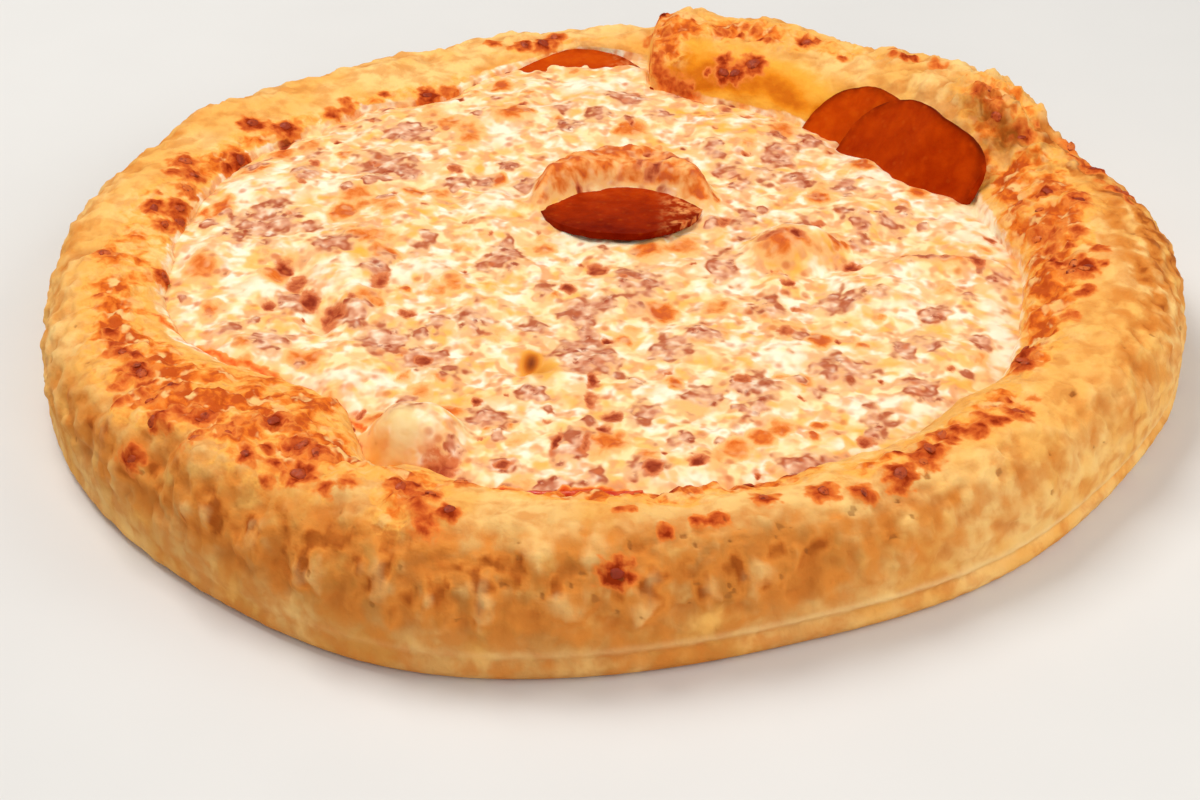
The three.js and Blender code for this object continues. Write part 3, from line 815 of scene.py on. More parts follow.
SPIN_STEPS = 900
FOOT_RINGS = 6
LEDGE_RINGS = 5
RIM_RINGS = 84
WALL_RINGS = 4
BASE_INSET = 8
FLOOR_INSET = 10
MERGED_WITHIN = 0.02
# The relief in millimetres that spans the dough's painted light and shade: painted shade in its dents, a
# painted highlight on its bumps.
PAINTED_RELIEF_LIGHT_SPAN = 5


def even_across(sizes):
    """Places across the rim's top that are evenly spaced along its surface."""
    mean = SimpleNamespace(outer=sizes.outer, crest=sizes.crest, top=sizes.top + 6, well=sizes.well)
    across = np.linspace(0, 180, 721)
    radius, height = rim_place(mean, across, sizes.level)
    length = np.concatenate(([0], np.cumsum(np.hypot(np.diff(radius), np.diff(height)))))
    return np.interp(np.linspace(0, length[-1], RIM_RINGS), length, across)


def crust_rings(sizes, rim):
    """(radius, height, across) of each ring, from the base over the crest into the well."""
    rings = [(rim.outer - FOOT_ROUND - BASE_INSET, 0, 0)]
    for turn in np.radians(np.linspace(0, 90, FOOT_RINGS)):
        rings.append((rim.outer - FOOT_ROUND * (1 - np.sin(turn)), FOOT_ROUND * (1 - np.cos(turn)), 0))
    for height in np.linspace(FOOT_ROUND, LEDGE.top, LEDGE_RINGS + 2)[1:-1]:
        groove = rim.groove * bell((height - LEDGE.height) / LEDGE_SOFTNESS)
        rings.append((rim.outer - groove, height, 0))
    for across in even_across(sizes):
        rings.append((*rim_place(rim, across, sizes.level), across))
    for below in np.linspace(0, 1, WALL_RINGS + 1)[1:]:
        rings.append((rim.well - FLOOR_TUCK * below, sizes.level + (sizes.floor - sizes.level) * below, 180))
    rings.append((rim.well - FLOOR_TUCK - FLOOR_INSET, sizes.floor, 180))
    return rings


def spun_ring(name, sizes):
    """A closed ring of dough of even size: one section drawn as a line and spun round."""
    mean = SimpleNamespace(outer=sizes.outer, crest=sizes.crest, top=sizes.top,
                           well=sizes.well, groove=LEDGE.least)
    rings = crust_rings(sizes, mean)
    section = [(radius * MM, 0, float(height) * MM) for radius, height, _ in rings]
    drawn_line(section, np.ones(len(rings)))
    bpy.ops.object.convert(target="MESH")
    piece = bpy.context.object
    piece.name = name
    edit_all(piece)
    bpy.ops.mesh.spin(steps=SPIN_STEPS, angle=math.tau, center=(0, 0, 0), axis=(0, 0, 1))
    bpy.ops.mesh.select_all(action="SELECT")
    bpy.ops.mesh.remove_doubles(threshold=MERGED_WITHIN * MM)
    bpy.ops.mesh.fill_holes(sides=0)
    bpy.ops.object.mode_set(mode="OBJECT")
    return piece, rings


def ring_of_each(piece, rings):
    """The number of the ring that each vertex of the even ring lies on."""
    found = places(piece) / MM
    radius, height = np.hypot(found[:, 0], found[:, 1]), found[:, 2]
    best = np.full(len(found), np.inf)
    number = np.zeros(len(found), int)
    for i, (ring_radius, ring_height, _) in enumerate(rings):
        gap = np.hypot(radius - ring_radius, height - ring_height)
        nearer = gap < best
        best[nearer], number[nearer] = gap[nearer], i
    return number, np.degrees(np.arctan2(found[:, 1], found[:, 0]))


def dough_relief(points, angle, across, oiled):
    """Finer ups and downs of the rim: dough, leathery wall, folds, crags and baked cheese."""
    outside = smooth((96 - across) / 24)
    lift = 0.9 * clouds(points, 24, 1) + 0.9 * clouds(points, 9, 2)
    upright = points * (1, 1, 0.6)
    lift += outside * 2.2 * clouds(upright, 8, 3) * (0.5 + 0.5 * bell(wrap(angle + 105) / 60))
    lift += outside * 0.7 * clouds(points, 3.4, 4, 2)
    lift += oiled * (1.7 * clouds(points, 5, 5) + 0.5 * clouds(points, 2.6, 6, 2))
    lift += zoned(angle, across, CRAGS) * 3.2 * clouds(points, 6.5, 7)
    folded = fold_share(angle) * bell((across - 88) / 34)
    lift += folded * (1.8 * clouds(points, 8, 16) + 1.0 * clouds(points, 3.6, 17, 2))
    return lift * smooth(across / 12) + 0.25 * clouds(points, 4, 8, 2)


def spots(sizes):
    """(place, radius, tone) of the toasted spots of the rim, drawn round their clusters."""
    draw = draws(SPOTS.seed)
    found = []
    for at, spread, middle, reach, count in SPOT_CLUSTERS:
        for _ in range(count):
            angle = at + SPOTS.spread * spread * (next(draw) + next(draw) - 1)
            across = middle + SPOTS.spread * reach * (next(draw) + next(draw) - 1)
            place = rim_point(sizes, angle, across)
            found.append((place, between(SPOTS.size, next(draw) ** MOSTLY_SMALL), next(draw)))
    for angle, across, size, tone in SINGLE_SPOTS:
        found.append((rim_point(sizes, angle, across), size, tone))
    return found


def pores(sizes):
    """(place, radius, depth) of the small open pores of the wall."""
    draw = draws(PORES.seed)
    found = []
    for _ in range(PORES.count):
        place = rim_point(sizes, between(PORES.angle, next(draw)), between(PORES.across, next(draw)))
        found.append((place, between(PORES.size, next(draw)), 1.0))
    return found


def spot_share(points, found, halo, wobble):
    """How deep in a spot each point lies: 1 in its middle, fading out over its halo."""
    share = np.zeros(len(points))
    for place, radius, tone in found:
        away = np.linalg.norm(points - place, axis=1) / radius + wobble
        share = np.maximum(share, (0.6 + 0.4 * tone) * smooth((1 + halo - away) / (0.4 + halo)))
    return share


def run_up_share(angle, across):
    """Where cheese has run up the rim's inner side."""
    swells = [(at, spread, end - RUN_UP_END) for at, spread, end in RUN_UPS]
    return smooth((across - swelled(RUN_UP_END, swells, angle)) / RUN_UP_BLEND + 0.5)


class PIZZA_OT_crust(bpy.types.Operator):
    """Bake the crust: a spun ring of dough, shaped round the pizza and browned"""

    bl_idname = "pizza.crust"
    bl_label = "Crust"
    bl_options = {"REGISTER", "UNDO"}

    def execute(self, context):
        sizes = sizes_of(context.scene)
        piece, rings = spun_ring("crust_baked", sizes)
        number, angle = ring_of_each(piece, rings)
        shaped = crust_rings(sizes, rim_at(sizes, angle))
        pick = np.arange(len(angle))
        radius = np.stack([ring[0] for ring in shaped])[number, pick]
        height = np.stack([ring[1] + 0.0 * angle for ring in shaped])[number, pick]
        across = np.array([ring[2] for ring in shaped], float)[number]
        points = at_angle(radius, angle, height)
        on_rim = (number > FOOT_RINGS + LEDGE_RINGS) & (number <= FOOT_RINGS + LEDGE_RINGS + RIM_RINGS)
        away = away_from_core(points, angle)
        lift = np.where(on_rim, lump_lift(points, rim_lumps(sizes)), 0)
        points = points + away * lift[:, None]
        oiled = zoned(angle, across, OILED_ZONES)
        wobble = 0.8 * clouds(points, 2.5, 12, 2)
        toast = spot_share(points, spots(sizes), SPOTS.halo, wobble)
        # A run by the dome and a painted shadow along the fold's foot, browned like the toasted spots.
        runs_and_shadow = stroke_share(points[:, 0] + 2 * wobble, points[:, 1], DRIP_AND_SHADOW_STROKES)
        toast = np.maximum(toast, runs_and_shadow)
        pore = spot_share(points, pores(sizes), PORES.halo, 0.3 * wobble)
        relief = np.where(height > 1, dough_relief(points, angle, across, np.clip(oiled, 0, 1)), 0)
        relief = relief + SPOTS.lift * toast - PORES.depth * pore
        self.brown(piece, points, angle, across, oiled, sizes)
        # The relief kept as high also drives the dough's painted shade and painted highlight.
        mark(piece, toast=toast, high=0.5 + relief / PAINTED_RELIEF_LIGHT_SPAN, pore=pore)
        points = points + away * relief[:, None]
        points[:, 2] = np.maximum(points[:, 2], 0)
        move_to(piece, to_frame(points))
        close_up(piece)
        looks = context.scene.pizza_crust, context.scene.pizza_cheese
        hand_over(piece, crust_finish(*looks), "baked_crust", "crust")
        return {"FINISHED"}

    def brown(self, piece, points, angle, across, oiled, sizes):
        """Marks where the dough is oiled, tanned with painted shade low on the front wall, golden, amber,
        charred with painted shade in its creases, and under cheese, and the ledge's painted highlight.
        """
        upright = clouds(points * (1, 1, 0.6), 9, 10)
        blotches = clouds(points * (1, 1, 0.7), 5.5, 14)
        burnt, black = zoned(angle, across, BURNT), zoned(angle, across, BURNT_MIDDLE)
        burnt_shaded_creases = smooth(1 - 5 * np.abs(clouds(points, 9, 13)))
        lip = bell((points[:, 2] - LEDGE.top) / 1.2) * bell(wrap(angle - LEDGE.at) / LEDGE.spread)
        mark(piece,
             oiled=oiled * (0.85 + 0.9 * clouds(points, 8, 9)),
             tanned=zoned(angle, across, TANNED_AND_SHADED_ZONES),
             golden=zoned(angle, across, GOLDEN_ZONES) * (0.6 + 1.1 * blotches),
             amber=zoned(angle, across, AMBER_ZONES) * (0.85 + 0.3 * upright),
             cheesy=run_up_share(angle, across) + 0.25 * upright,
             char=0.7 * burnt * burnt_shaded_creases + 0.8 * black * (0.8 + clouds(points, 5, 15)),
             lip=np.where(across < 30, lip, 0))
        shades = cheese_shades(points, sizes)
        mark(piece, skin=shades.skin, orange=shades.orange, dark=shades.dark, oil=shades.oil,
             clear=shades.clear, sauced=shades.sauced)


# ---- the cheese ----

DISC_VERTICES = 152
DISC_CUTS = 7
OVERLAP = 0.8


def flat_disc(name, vertices, cuts):
    """A flat disc of radius 1 m, filled with an even grid."""
    start_afresh()
    bpy.ops.mesh.primitive_circle_add(vertices=vertices, radius=1.0, fill_type="NOTHING")
    piece = bpy.context.object
    piece.name = name
    edit_all(piece)
    bpy.ops.mesh.fill_grid(span=vertices // 4)
    bpy.ops.mesh.select_all(action="SELECT")
    bpy.ops.mesh.subdivide(number_cuts=cuts, smoothness=0)
    bpy.ops.object.mode_set(mode="OBJECT")
    return piece


def rim_edge(piece):
    """Which vertices lie on the open edge of a flat disc."""
    uses = np.zeros(len(piece.data.edges), int)
    loops = np.empty(len(piece.data.loops), int)
    piece.data.loops.foreach_get("edge_index", loops)
    np.add.at(uses, loops, 1)
    ends = np.empty(len(piece.data.edges) * 2, int)
    piece.data.edges.foreach_get("vertices", ends)
    on_edge = np.zeros(len(piece.data.vertices), bool)
    on_edge[ends.reshape(-1, 2)[uses == 1].ravel()] = True
    return on_edge


def in_clear_place(x, y):
    return any(math.hypot((x - cx) / wide, (y - cy) / deep) < 1.1 for cx, cy, wide, deep in CLEAR_MARKS)


def cheese_marks(sizes):
    """Named and seeded marks by kind: (x, y, half widths, turn in degrees, strength)."""
    draw = draws(MORE_MARKS.seed)
    kinds = {
        "skin": (MAUVE_MARKS, MORE_MARKS.mauve, MORE_MARKS.wide),
        "orange": (ORANGE_MARKS, MORE_MARKS.orange, MORE_MARKS.wide),
        "dark": (DARK_MARKS, MORE_MARKS.dark, MORE_MARKS.small),
        "oil": (OIL_MARKS, MORE_MARKS.oil, MORE_MARKS.wide),
    }
    marks = {}
    for step, (kind, (named, count, widths)) in enumerate(kinds.items()):
        marks[kind] = [(*m, 24 * next(draw) - 12, between((0.7, 1.0), next(draw))) for m in named]
        for i in range(count):
            radius = sizes.well * math.sqrt((i + next(draw)) / count) * MORE_MARKS.within
            turn = math.radians(GOLDEN_ANGLE * i + 80 * step + 70 * next(draw))
            size = between(widths, next(draw) ** MOSTLY_SMALL)
            strength = between((0.45, 1.0), next(draw))
            spin = 80 * next(draw) - 40
            x, y = radius * math.cos(turn), radius * math.sin(turn)
            if kind == "oil" or not in_clear_place(x, y):
                marks[kind].append((x, y, size, size * 1.2, spin, strength))
    marks["clear"] = [(*m, 0, 1.0) for m in CLEAR_MARKS]
    return marks


def marked_share(x, y, marks):
    """How deep inside a mark each place lies: 1 in its middle, 0 past its soft edge."""
    share = np.zeros_like(x)
    for cx, cy, wide, deep, turn, strength in marks:
        reach = 1.5 * max(wide, deep)
        near = np.flatnonzero((np.abs(x - cx) < reach) & (np.abs(y - cy) < reach))
        cosine, sine = math.cos(math.radians(turn)), math.sin(math.radians(turn))
        along = ((x[near] - cx) * cosine + (y[near] - cy) * sine) / wide
        over = ((y[near] - cy) * cosine - (x[near] - cx) * sine) / deep
        inside = strength * smooth((1.45 - np.hypot(along, over)) / 1.1)
        share[near] = np.maximum(share[near], inside)
    return share


def stroke_share(x, y, strokes):
    """How near each place lies to lines drawn through points, seen from above."""
    share = np.zeros_like(x)
    for width, strength, stroke in strokes:
        for (ax, ay), (bx, by) in zip(stroke, stroke[1:]):
            length = math.hypot(bx - ax, by - ay)
            along = np.clip(((x - ax) * (bx - ax) + (y - ay) * (by - ay)) / length ** 2, 0, 1)
            off = np.hypot(x - ax - along * (bx - ax), y - ay - along * (by - ay))
            share = np.maximum(share, strength * bell(off / width))
    return share


def cheese_shades(points, sizes):
    """How far the cheese is browned, orange, dark, oily and sauced at each place."""
    x = points[:, 0] + 1.7 * clouds(points, 5, 21) + 0.3 * clouds(points, 2, 22, 2)
    y = points[:, 1] + 1.7 * clouds(points, 5, 23) + 0.3 * clouds(points, 2, 24, 2)
    kinds = cheese_marks(sizes)
    shades = SimpleNamespace(**{kind: marked_share(x, y, marks) for kind, marks in kinds.items()})
    shades.mound = mound_share(points[:, 0], points[:, 1])
    on_mound = smooth(2 * shades.mound)
    uneven = 0.78 + 0.4 * clouds(points, 5, 25) + 0.2 * clouds(points, 2.2, 26, 2)
    shades.orange = np.maximum(shades.orange, on_mound * uneven)
    shades.skin = shades.skin * (1 - on_mound)
    shades.sauced = stroke_share(x, y, SAUCE_STROKES)
    return shades


class PIZZA_OT_cheese(bpy.types.Operator):
    """Melt the cheese: a disc shaped into bubbles, a mound and grooves, and browned"""

    bl_idname = "pizza.cheese"
    bl_label = "Cheese"
    bl_options = {"REGISTER", "UNDO"}

    def execute(self, context):
        sizes = sizes_of(context.scene)
        piece = flat_disc("cheese_melted", DISC_VERTICES, DISC_CUTS)
        flat, on_edge = places(piece), rim_edge(piece)
        angle = np.degrees(np.arctan2(flat[:, 1], flat[:, 0]))
        share = np.where(on_edge, 1.0, np.minimum(np.hypot(flat[:, 0], flat[:, 1]), 1.0))
        edge = rim_at(sizes, angle).well + OVERLAP
        radius = share * (sizes.well + (edge - sizes.well) * share ** 3)
        points = at_angle(radius, angle, 0)
        to_edge = edge - radius
        points[:, 2] = cheese_height(sizes, points[:, 0], points[:, 1], to_edge)
        shades = cheese_shades(points, sizes)
        self.brown(piece, points, to_edge, shades)
        points[:, 2] += self.relief(points, shades) * smooth(to_edge / 2)
        move_to(piece, to_frame(points))
        self.close_below(piece, on_edge, sizes)
        hand_over(piece, cheese_finish(context.scene.pizza_cheese), "melted_cheese", "cheese")
        return {"FINISHED"}

    def brown(self, piece, points, to_edge, shades):
        """Keeps the shades on the piece, with the olive shadow of its hole and hollow."""
        x, y = points[:, 0], points[:, 1]
        olive = np.zeros_like(x)
        for cx, cy, wide, deep, most in OLIVE_PLACES:
            olive = np.maximum(olive, most * bell(np.hypot((x - cx) / wide, (y - cy) / deep)))
        cx, cy, wide, deep = GREEN_PLACE
        green = smooth(1.5 - np.hypot((x - cx) / wide, (y - cy) / deep))
        mark(piece, olive=olive, green=green, oil=np.maximum(shades.oil, 0.6 * bell(to_edge / 6)),
             skin=shades.skin, orange=shades.orange, dark=shades.dark, clear=shades.clear,
             sauced=shades.sauced)

    def relief(self, points, shades):
        """Finer ups and downs: molten flow, browned skins a little raised, and wrinkles."""
        lift = 0.9 * clouds(points, 11, 31) + 0.5 * clouds(points, 5, 32, 2)
        lift += 0.5 * shades.skin + 0.4 * shades.orange - 0.4 * shades.dark
        lift += 0.25 * clouds(points, 2.6, 33, 2) * (0.2 + shades.skin + shades.orange)
        lift += 0.8 * clouds(points, 5, 34) * shades.mound
        return lift

    def close_below(self, piece, on_edge, sizes):
        """Extrudes the edge down into the crust and closes the bottom."""
        edit_all(piece)
        bpy.ops.mesh.select_all(action="DESELECT")
        bpy.ops.object.mode_set(mode="OBJECT")
        piece.data.vertices.foreach_set("select", on_edge)
        edges = np.empty(len(piece.data.edges) * 2, int)
        piece.data.edges.foreach_get("vertices", edges)
        piece.data.edges.foreach_set("select", on_edge[edges.reshape(-1, 2)].all(1))
        bpy.ops.object.mode_set(mode="EDIT")
        bpy.ops.mesh.select_mode(type="EDGE")
        drop = (sizes.floor - sizes.level + EDGE_DIP.depth + 0.3) * MM
        shrink = 1 - FLOOR_TUCK / sizes.well
        bpy.ops.mesh.extrude_region_move(TRANSFORM_OT_translate={"value": (0, 0, drop)})
        middle = (-OUTLINE_MIDDLE[0] * MM, -OUTLINE_MIDDLE[1] * MM, sizes.floor * MM)
        bpy.ops.transform.resize(value=(shrink, shrink, 1), center_override=middle)
        bpy.ops.mesh.edge_face_add()
        close_up(piece)


# ---- the pepperoni ----

SLICE_VERTICES = 64
SLICE_CUTS = 3


def on_wall(sizes, angle, level, bend):
    """Places of a slice that lies in the cheese up to its fold and then leans on the rim."""
    full = math.radians(WALL_LEAN)

    def place(side, t):
        turned = angle - np.degrees(side / sizes.well)
        fold = rim_at(sizes, turned).well - WALL_INSET
        tilt = np.clip(t / bend, 0, full)
        past = np.maximum(t - bend * full, 0)
        radius = fold + np.minimum(t, 0) + bend * np.sin(tilt) + past * math.cos(full)
        height = level + bend * (1 - np.cos(tilt)) + past * math.sin(full)
        return at_angle(radius, turned, height), at_angle(-np.sin(tilt), turned, np.cos(tilt))

    return place


def lying_flat(x, y, level, radius, rise, droop):
    def place(side, t):
        sag = droop * (side * side + t * t) / (radius * radius)
        point = np.stack((x + side, y + t, level + rise * t - sag), -1)
        return point, np.broadcast_to((0.0, 0.0, 1.0), point.shape)

    return place


def pepperoni_slice(node, sizes, along, across, up, place, seed):
    """A round slice: a disc with a thickness and a rounded edge, bent to its place."""
    piece = flat_disc(node.replace("pepperoni", "slice"), SLICE_VERTICES, SLICE_CUTS)
    flat = places(piece)
    move_to(piece, flat * (along * MM, across * MM, 1))
    thick = piece.modifiers.new("thickness", "SOLIDIFY")
    thick.thickness = sizes.thickness * MM
    thick.offset = 0
    rounded = piece.modifiers.new("rounded edge", "BEVEL")
    rounded.width = 0.3 * sizes.thickness * MM
    rounded.segments = 3
    rounded.limit_method = "ANGLE"
    settle(piece, thick, rounded)
    solid = places(piece) / MM
    share = np.hypot(solid[:, 0] / along, solid[:, 1] / across)
    ragged = 1 + 0.012 * clouds(solid * (1, 1, 0), 7, seed) * share
    side, t, up_down = solid[:, 0] * ragged, solid[:, 1] * ragged + up, solid[:, 2]
    point, normal = place(side, t)
    wave = 0.35 * clouds(solid * (1, 1, 0), 12, seed + 1) + 0.12 * clouds(solid, 3, seed + 2, 2)
    points = point + normal * (up_down + wave)[:, None]
    move_to(piece, to_frame(points))
    # Painted light: each slice is painted as lit or shaded, and brighter towards its far edge.
    glow, rise = SLICE_PAINTED_LIGHT[node]
    on_rim = node.startswith("pepperoni_rim")
    charred = smooth((share - 0.965) / 0.035) * smooth(solid[:, 1] / across * 1.8 - 0.5)
    thin_cheese = smooth((solid[:, 0] - 9) / 9)
    mark(piece, glow=glow + rise * solid[:, 1] / across, edge=smooth((share - 0.86) / 0.14),
         char=on_rim * charred * (0.75 + clouds(solid, 5, seed + 3)), veil=(not on_rim) * thin_cheese)
    close_up(piece)
    return piece


class PIZZA_OT_pepperoni(bpy.types.Operator):
    """Lay the four pepperoni slices on the cheese and against the rim"""

    bl_idname = "pizza.pepperoni"
    bl_label = "Pepperoni"
    bl_options = {"REGISTER", "UNDO"}

    def execute(self, context):
        sizes = sizes_of(context.scene)
        finish = pepperoni_finish(context.scene.pizza_pepperoni)
        for seed, (node, angle, level, bend, along, across, up) in enumerate(WALL_SLICES):
            piece = pepperoni_slice(node, sizes, along, across, up,
                                    on_wall(sizes, angle, level, bend), 40 + 5 * seed)
            hand_over(piece, finish, "pepperoni", node)
        for seed, (node, x, y, level, radius, rise, droop) in enumerate(FLAT_SLICES):
            piece = pepperoni_slice(node, sizes, radius, radius, 0,
                                    lying_flat(x, y, level, radius, rise, droop), 60 + 5 * seed)
            hand_over(piece, finish, "pepperoni", node)
        return {"FINISHED"}


# ---- sauce and crumbs ----

BEAD_STEPS = 60
# Only the larger toasted spots carry a crumb: a low lump in shares of the spot's radius.
CRUMB_LEAST = 2.1
CRUMB_SHAPE = (0.7, 0.5, 0.2)


class PIZZA_OT_sauce(bpy.types.Operator):
    """Draw the wet beads of sauce that show between the cheese and the rim"""

    bl_idname = "pizza.sauce"
    bl_label = "Sauce"
    bl_options = {"REGISTER", "UNDO"}

    def execute(self, context):
        sizes = sizes_of(context.scene)
        beads = [self.bead(sizes, *line, seed) for seed, line in enumerate(SAUCE_BEADS)]
        piece = joined(beads, "sauce_lines")
        roughened(piece, "sauce_lumps", 2.5, 0.7)
        close_up(piece)
        hand_over(piece, sauce_finish(context.scene.pizza_cheese), "melted_cheese")
        return {"FINISHED"}

    def bead(self, sizes, start, end, inside, thickness, seed):
        """One tapering bead of sauce, half sunk in the cheese along its edge."""
        angle = np.linspace(start, end, BEAD_STEPS)
        wander = clouds(np.stack((angle * 2.2, angle * 0, angle * 0), -1), 9, 70 + seed)
        radius = rim_at(sizes, angle).well - inside + 1.2 * wander
        flat = at_angle(radius, angle, 0)
        level = cheese_height(sizes, flat[:, 0], flat[:, 1], rim_at(sizes, angle).well - radius)
        line = to_frame(flat + np.outer(level, (0, 0, 1)))
        taper = np.sqrt(np.sin(np.linspace(0.05, math.pi - 0.05, len(angle)))) * (1 + 0.6 * wander)
        piece = drawn_line(line, taper)
        piece.data.bevel_depth = thickness * MM
        piece.data.bevel_resolution = 5
        piece.data.use_fill_caps = True
        bpy.ops.object.convert(target="MESH")
        return bpy.context.object


class PIZZA_OT_crumbs(bpy.types.Operator):
    """Scatter the baked cheese crumbs that stick to the rim"""

    bl_idname = "pizza.crumbs"
    bl_label = "Baked crumbs"
    bl_options = {"REGISTER", "UNDO"}

    def execute(self, context):
        sizes = sizes_of(context.scene)
        crust = bpy.data.objects.get("crust_baked")
        if crust is None:
            raise RuntimeError("Bake the crust before its crumbs")
        start_afresh()
        bpy.ops.mesh.primitive_ico_sphere_add(subdivisions=3, radius=1.0)
        pattern = bpy.context.object
        roughened(pattern, "lumpy", 900, 500)
        corners_each = len(pattern.data.vertices)
        pieces = []
        for number, (place, radius, tone) in enumerate(spots(sizes)):
            if radius < CRUMB_LEAST:
                continue
            _, spot, normal, _ = crust.closest_point_on_mesh(Vector(to_frame(place)))
            copy = pattern.copy()
            copy.data = pattern.data.copy()
            bpy.context.collection.objects.link(copy)
            turn = Vector((0, 0, 1)).rotation_difference(normal).to_matrix().to_4x4()
            spin = Matrix.Rotation(2.4 * number, 4, "Z")
            size = Matrix.Diagonal((*(radius * MM * Vector(CRUMB_SHAPE)), 1))
            copy.data.transform(Matrix.Translation(spot) @ turn @ spin @ size)
            mark(copy, tone=np.full(corners_each, tone))
            pieces.append(copy)
        piece = joined(pieces, "rim_crumbs")
        bpy.data.objects.remove(pattern)
        roughened(piece, "uneven", 2.0, 0.5)
        close_up(piece)
        hand_over(piece, crumb_finish(context.scene.pizza_crust), "melted_cheese")
        return {"FINISHED"}


# ---- the stage ----

CAMERA_TARGET = (-4.10, -48.08, 10)
CAMERA_DISTANCE = 730.3
CAMERA_ELEVATION = 33.54
LENS = 81
SENSOR_WIDTH = 36
FLOOR_SIZE = 9.0
FLOOR_SHADE = (220, 218, 214)
SKY = (236, 238, 242)
# (name, place, target, size in metres, power, colour)
LIGHTS = (
    ("key", (-0.5, 0.35, 1.2), (0, 0, 0), 0.7, 13, (1.0, 0.98, 0.95)),
    ("fill", (0.2, -1.0, 0.7), (0, 0, 0), 0.9, 5, (1.0, 0.98, 0.95)),
    ("side", (0.9, -0.2, 0.65), (0, 0, 0), 0.8, 4.2, (1.0, 0.98, 0.95)),
)


class PIZZA_OT_stage(bpy.types.Operator):
    """Set a plain pale floor, soft studio lights and the camera"""

    bl_idname = "pizza.stage"
    bl_label = "Stage"
    bl_options = {"REGISTER", "UNDO"}

    def execute(self, context):
        look = context.scene.pizza_stage
        start_afresh()
        bpy.ops.mesh.primitive_plane_add(size=FLOOR_SIZE)
        floor = context.object
        floor.name = "floor"
        paper = Finish("pale_paper", look.floor_colour)
        paper.lay(rgb(*FLOOR_SHADE), paper.grain(60, 2))
        floor.data.materials.append(paper.done(Roughness=0.8))
        world = bpy.data.worlds.new("studio")
        world.use_nodes = True
        sky = world.node_tree.nodes["Background"]
        sky.inputs["Color"].default_value = rgb(*SKY)
        sky.inputs["Strength"].default_value = look.ambient
        context.scene.world = world
        for name, place, target, size, power, colour in LIGHTS:
            aim = (Vector(target) - Vector(place)).to_track_quat("-Z", "Y").to_euler()
            bpy.ops.object.light_add(type="AREA", location=place, rotation=aim)
            light = context.object
            light.name = name
            light.data.energy = power * look.light
            light.data.color = colour
            light.data.size = size
        tilt = math.radians(CAMERA_ELEVATION)
        back = Vector((0, -math.cos(tilt), math.sin(tilt))) * CAMERA_DISTANCE
        bpy.ops.object.camera_add(location=(Vector(CAMERA_TARGET) + back) * MM,
                                  rotation=(math.pi / 2 - tilt, 0, 0))
        camera = context.object
        camera.data.lens = LENS
        camera.data.sensor_width = SENSOR_WIDTH
        context.scene.camera = camera
        context.scene.view_settings.view_transform = "Standard"
        return {"FINISHED"}


# ---- sizes and colours a user would change ----


def colour_property(name, description, default):
    return bpy.props.FloatVectorProperty(name=name, description=description, default=default,
                                         subtype="COLOR", size=4, min=0, max=1)


def length_property(name, description, default):
    return bpy.props.FloatProperty(name=name, description=description, default=default * MM,
                                   min=0, subtype="DISTANCE", unit="LENGTH")


class PizzaCrust(bpy.types.PropertyGroup):
    """Sizes and colours of the crust"""

    outer_radius: length_property("Outer radius", "From the well's middle to the rim's foot", 159)
    crest_radius: length_property("Crest radius", "From the well's middle to the top of the rim", 139)
    crest_height: length_property("Crest height", "Height of the rim where nothing swells it", 28)
    well_radius: length_property("Well radius", "From the middle to where the cheese ends", 121)
    floor_height: length_property("Floor height", "Thickness of dough under the cheese", 15)
    pale: colour_property("Pale", "Colour of the lightest dough", rgb(253, 206, 128))
    tan: colour_property("Tan", "Colour of most of the dough", rgb(247, 184, 96))
    golden: colour_property("Golden", "Colour of browned patches", rgb(202, 114, 42))
    brown: colour_property("Brown", "Colour of the darkest patches", rgb(170, 86, 28))
    orange: colour_property("Orange", "Colour of oiled, baked-on cheese", rgb(230, 116, 34))
    toast: colour_property("Toast", "Colour of toasted spots", rgb(148, 44, 10))


class PizzaCheese(bpy.types.PropertyGroup):
    """Sizes and colours of the cheese and its sauce"""

    level: length_property("Level", "Height of the cheese over the base", 24)
    cream: colour_property("Cream", "Colour of the lightest cheese", rgb(254, 244, 216))
    butter: colour_property("Butter", "Colour of most of the cheese", rgb(253, 226, 166))
    oil: colour_property("Oil", "Colour of oily places", rgb(247, 178, 60))
    orange: colour_property("Orange", "Colour of lightly browned places", rgb(224, 112, 36))
    mauve: colour_property("Mauve", "Colour of browned skins", rgb(202, 122, 88))
    ring: colour_property("Ring", "Colour of the browned skins' outlines", rgb(176, 74, 38))
    sauce: colour_property("Sauce", "Colour of the tomato sauce", rgb(205, 52, 14))


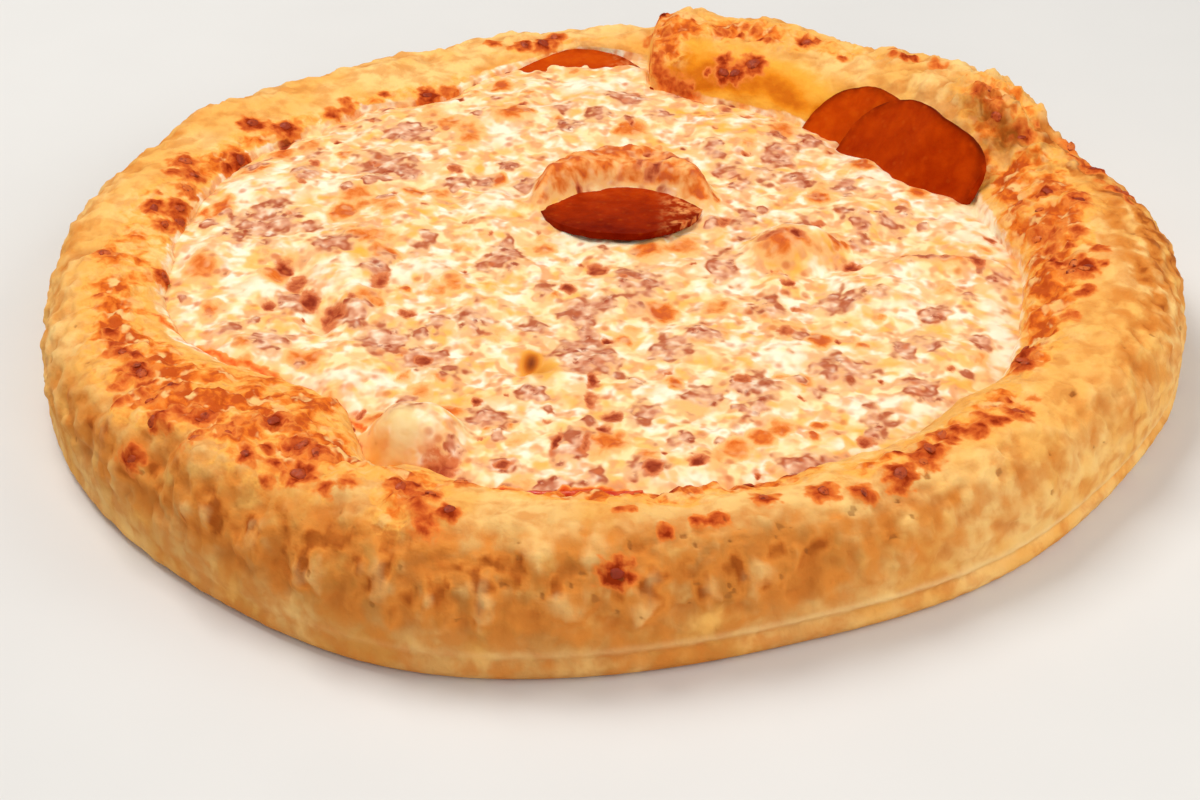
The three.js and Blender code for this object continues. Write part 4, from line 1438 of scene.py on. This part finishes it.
class PizzaPepperoni(bpy.types.PropertyGroup):
    """Size and colours of the pepperoni"""

    thickness: length_property("Thickness", "Thickness of a slice", 2.2)
    meat: colour_property("Meat", "Main colour of a slice", rgb(158, 40, 2))
    meat_light: colour_property("Light meat", "Colour of its lighter places", rgb(194, 66, 4))
    meat_dark: colour_property("Dark meat", "Colour of its darker places", rgb(112, 16, 0))


class PizzaStage(bpy.types.PropertyGroup):
    """Light and floor"""

    light: bpy.props.FloatProperty(name="Light", description="Strength of all lamps", default=1.0, min=0)
    ambient: bpy.props.FloatProperty(name="Ambient", description="Light from all round", default=0.3, min=0)
    floor_colour: colour_property("Floor", "Colour of the floor", rgb(226, 224, 220))


GROUPS = {
    "pizza_crust": PizzaCrust,
    "pizza_cheese": PizzaCheese,
    "pizza_pepperoni": PizzaPepperoni,
    "pizza_stage": PizzaStage,
}
OPERATORS = (
    PIZZA_OT_crust,
    PIZZA_OT_cheese,
    PIZZA_OT_pepperoni,
    PIZZA_OT_sauce,
    PIZZA_OT_crumbs,
    PIZZA_OT_stage,
)


class PIZZA_PT_kitchen(bpy.types.Panel):
    """Lists the pieces of the pizza, in the order they are made, and their settings"""

    bl_label = "Pan Pizza"
    bl_idname = "PIZZA_PT_kitchen"
    bl_space_type = "VIEW_3D"
    bl_region_type = "UI"
    bl_category = "Pizza"

    def draw(self, context):
        for operator in OPERATORS:
            self.layout.operator(operator.bl_idname)
        for name, group in GROUPS.items():
            box = self.layout.box()
            for key in group.__annotations__:
                box.prop(getattr(context.scene, name), key)


def register():
    for group in GROUPS.values():
        bpy.utils.register_class(group)
    for name, group in GROUPS.items():
        setattr(bpy.types.Scene, name, bpy.props.PointerProperty(type=group))
    for shown in (*OPERATORS, PIZZA_PT_kitchen):
        bpy.utils.register_class(shown)


def unregister():
    for shown in (PIZZA_PT_kitchen, *reversed(OPERATORS)):
        bpy.utils.unregister_class(shown)
    for name, group in reversed(GROUPS.items()):
        delattr(bpy.types.Scene, name)
        bpy.utils.unregister_class(group)


def main():
    register()
    bpy.ops.pizza.crust()
    bpy.ops.pizza.cheese()
    bpy.ops.pizza.pepperoni()
    bpy.ops.pizza.sauce()
    bpy.ops.pizza.crumbs()
    bpy.ops.pizza.stage()


if __name__ == "__main__":
    main()
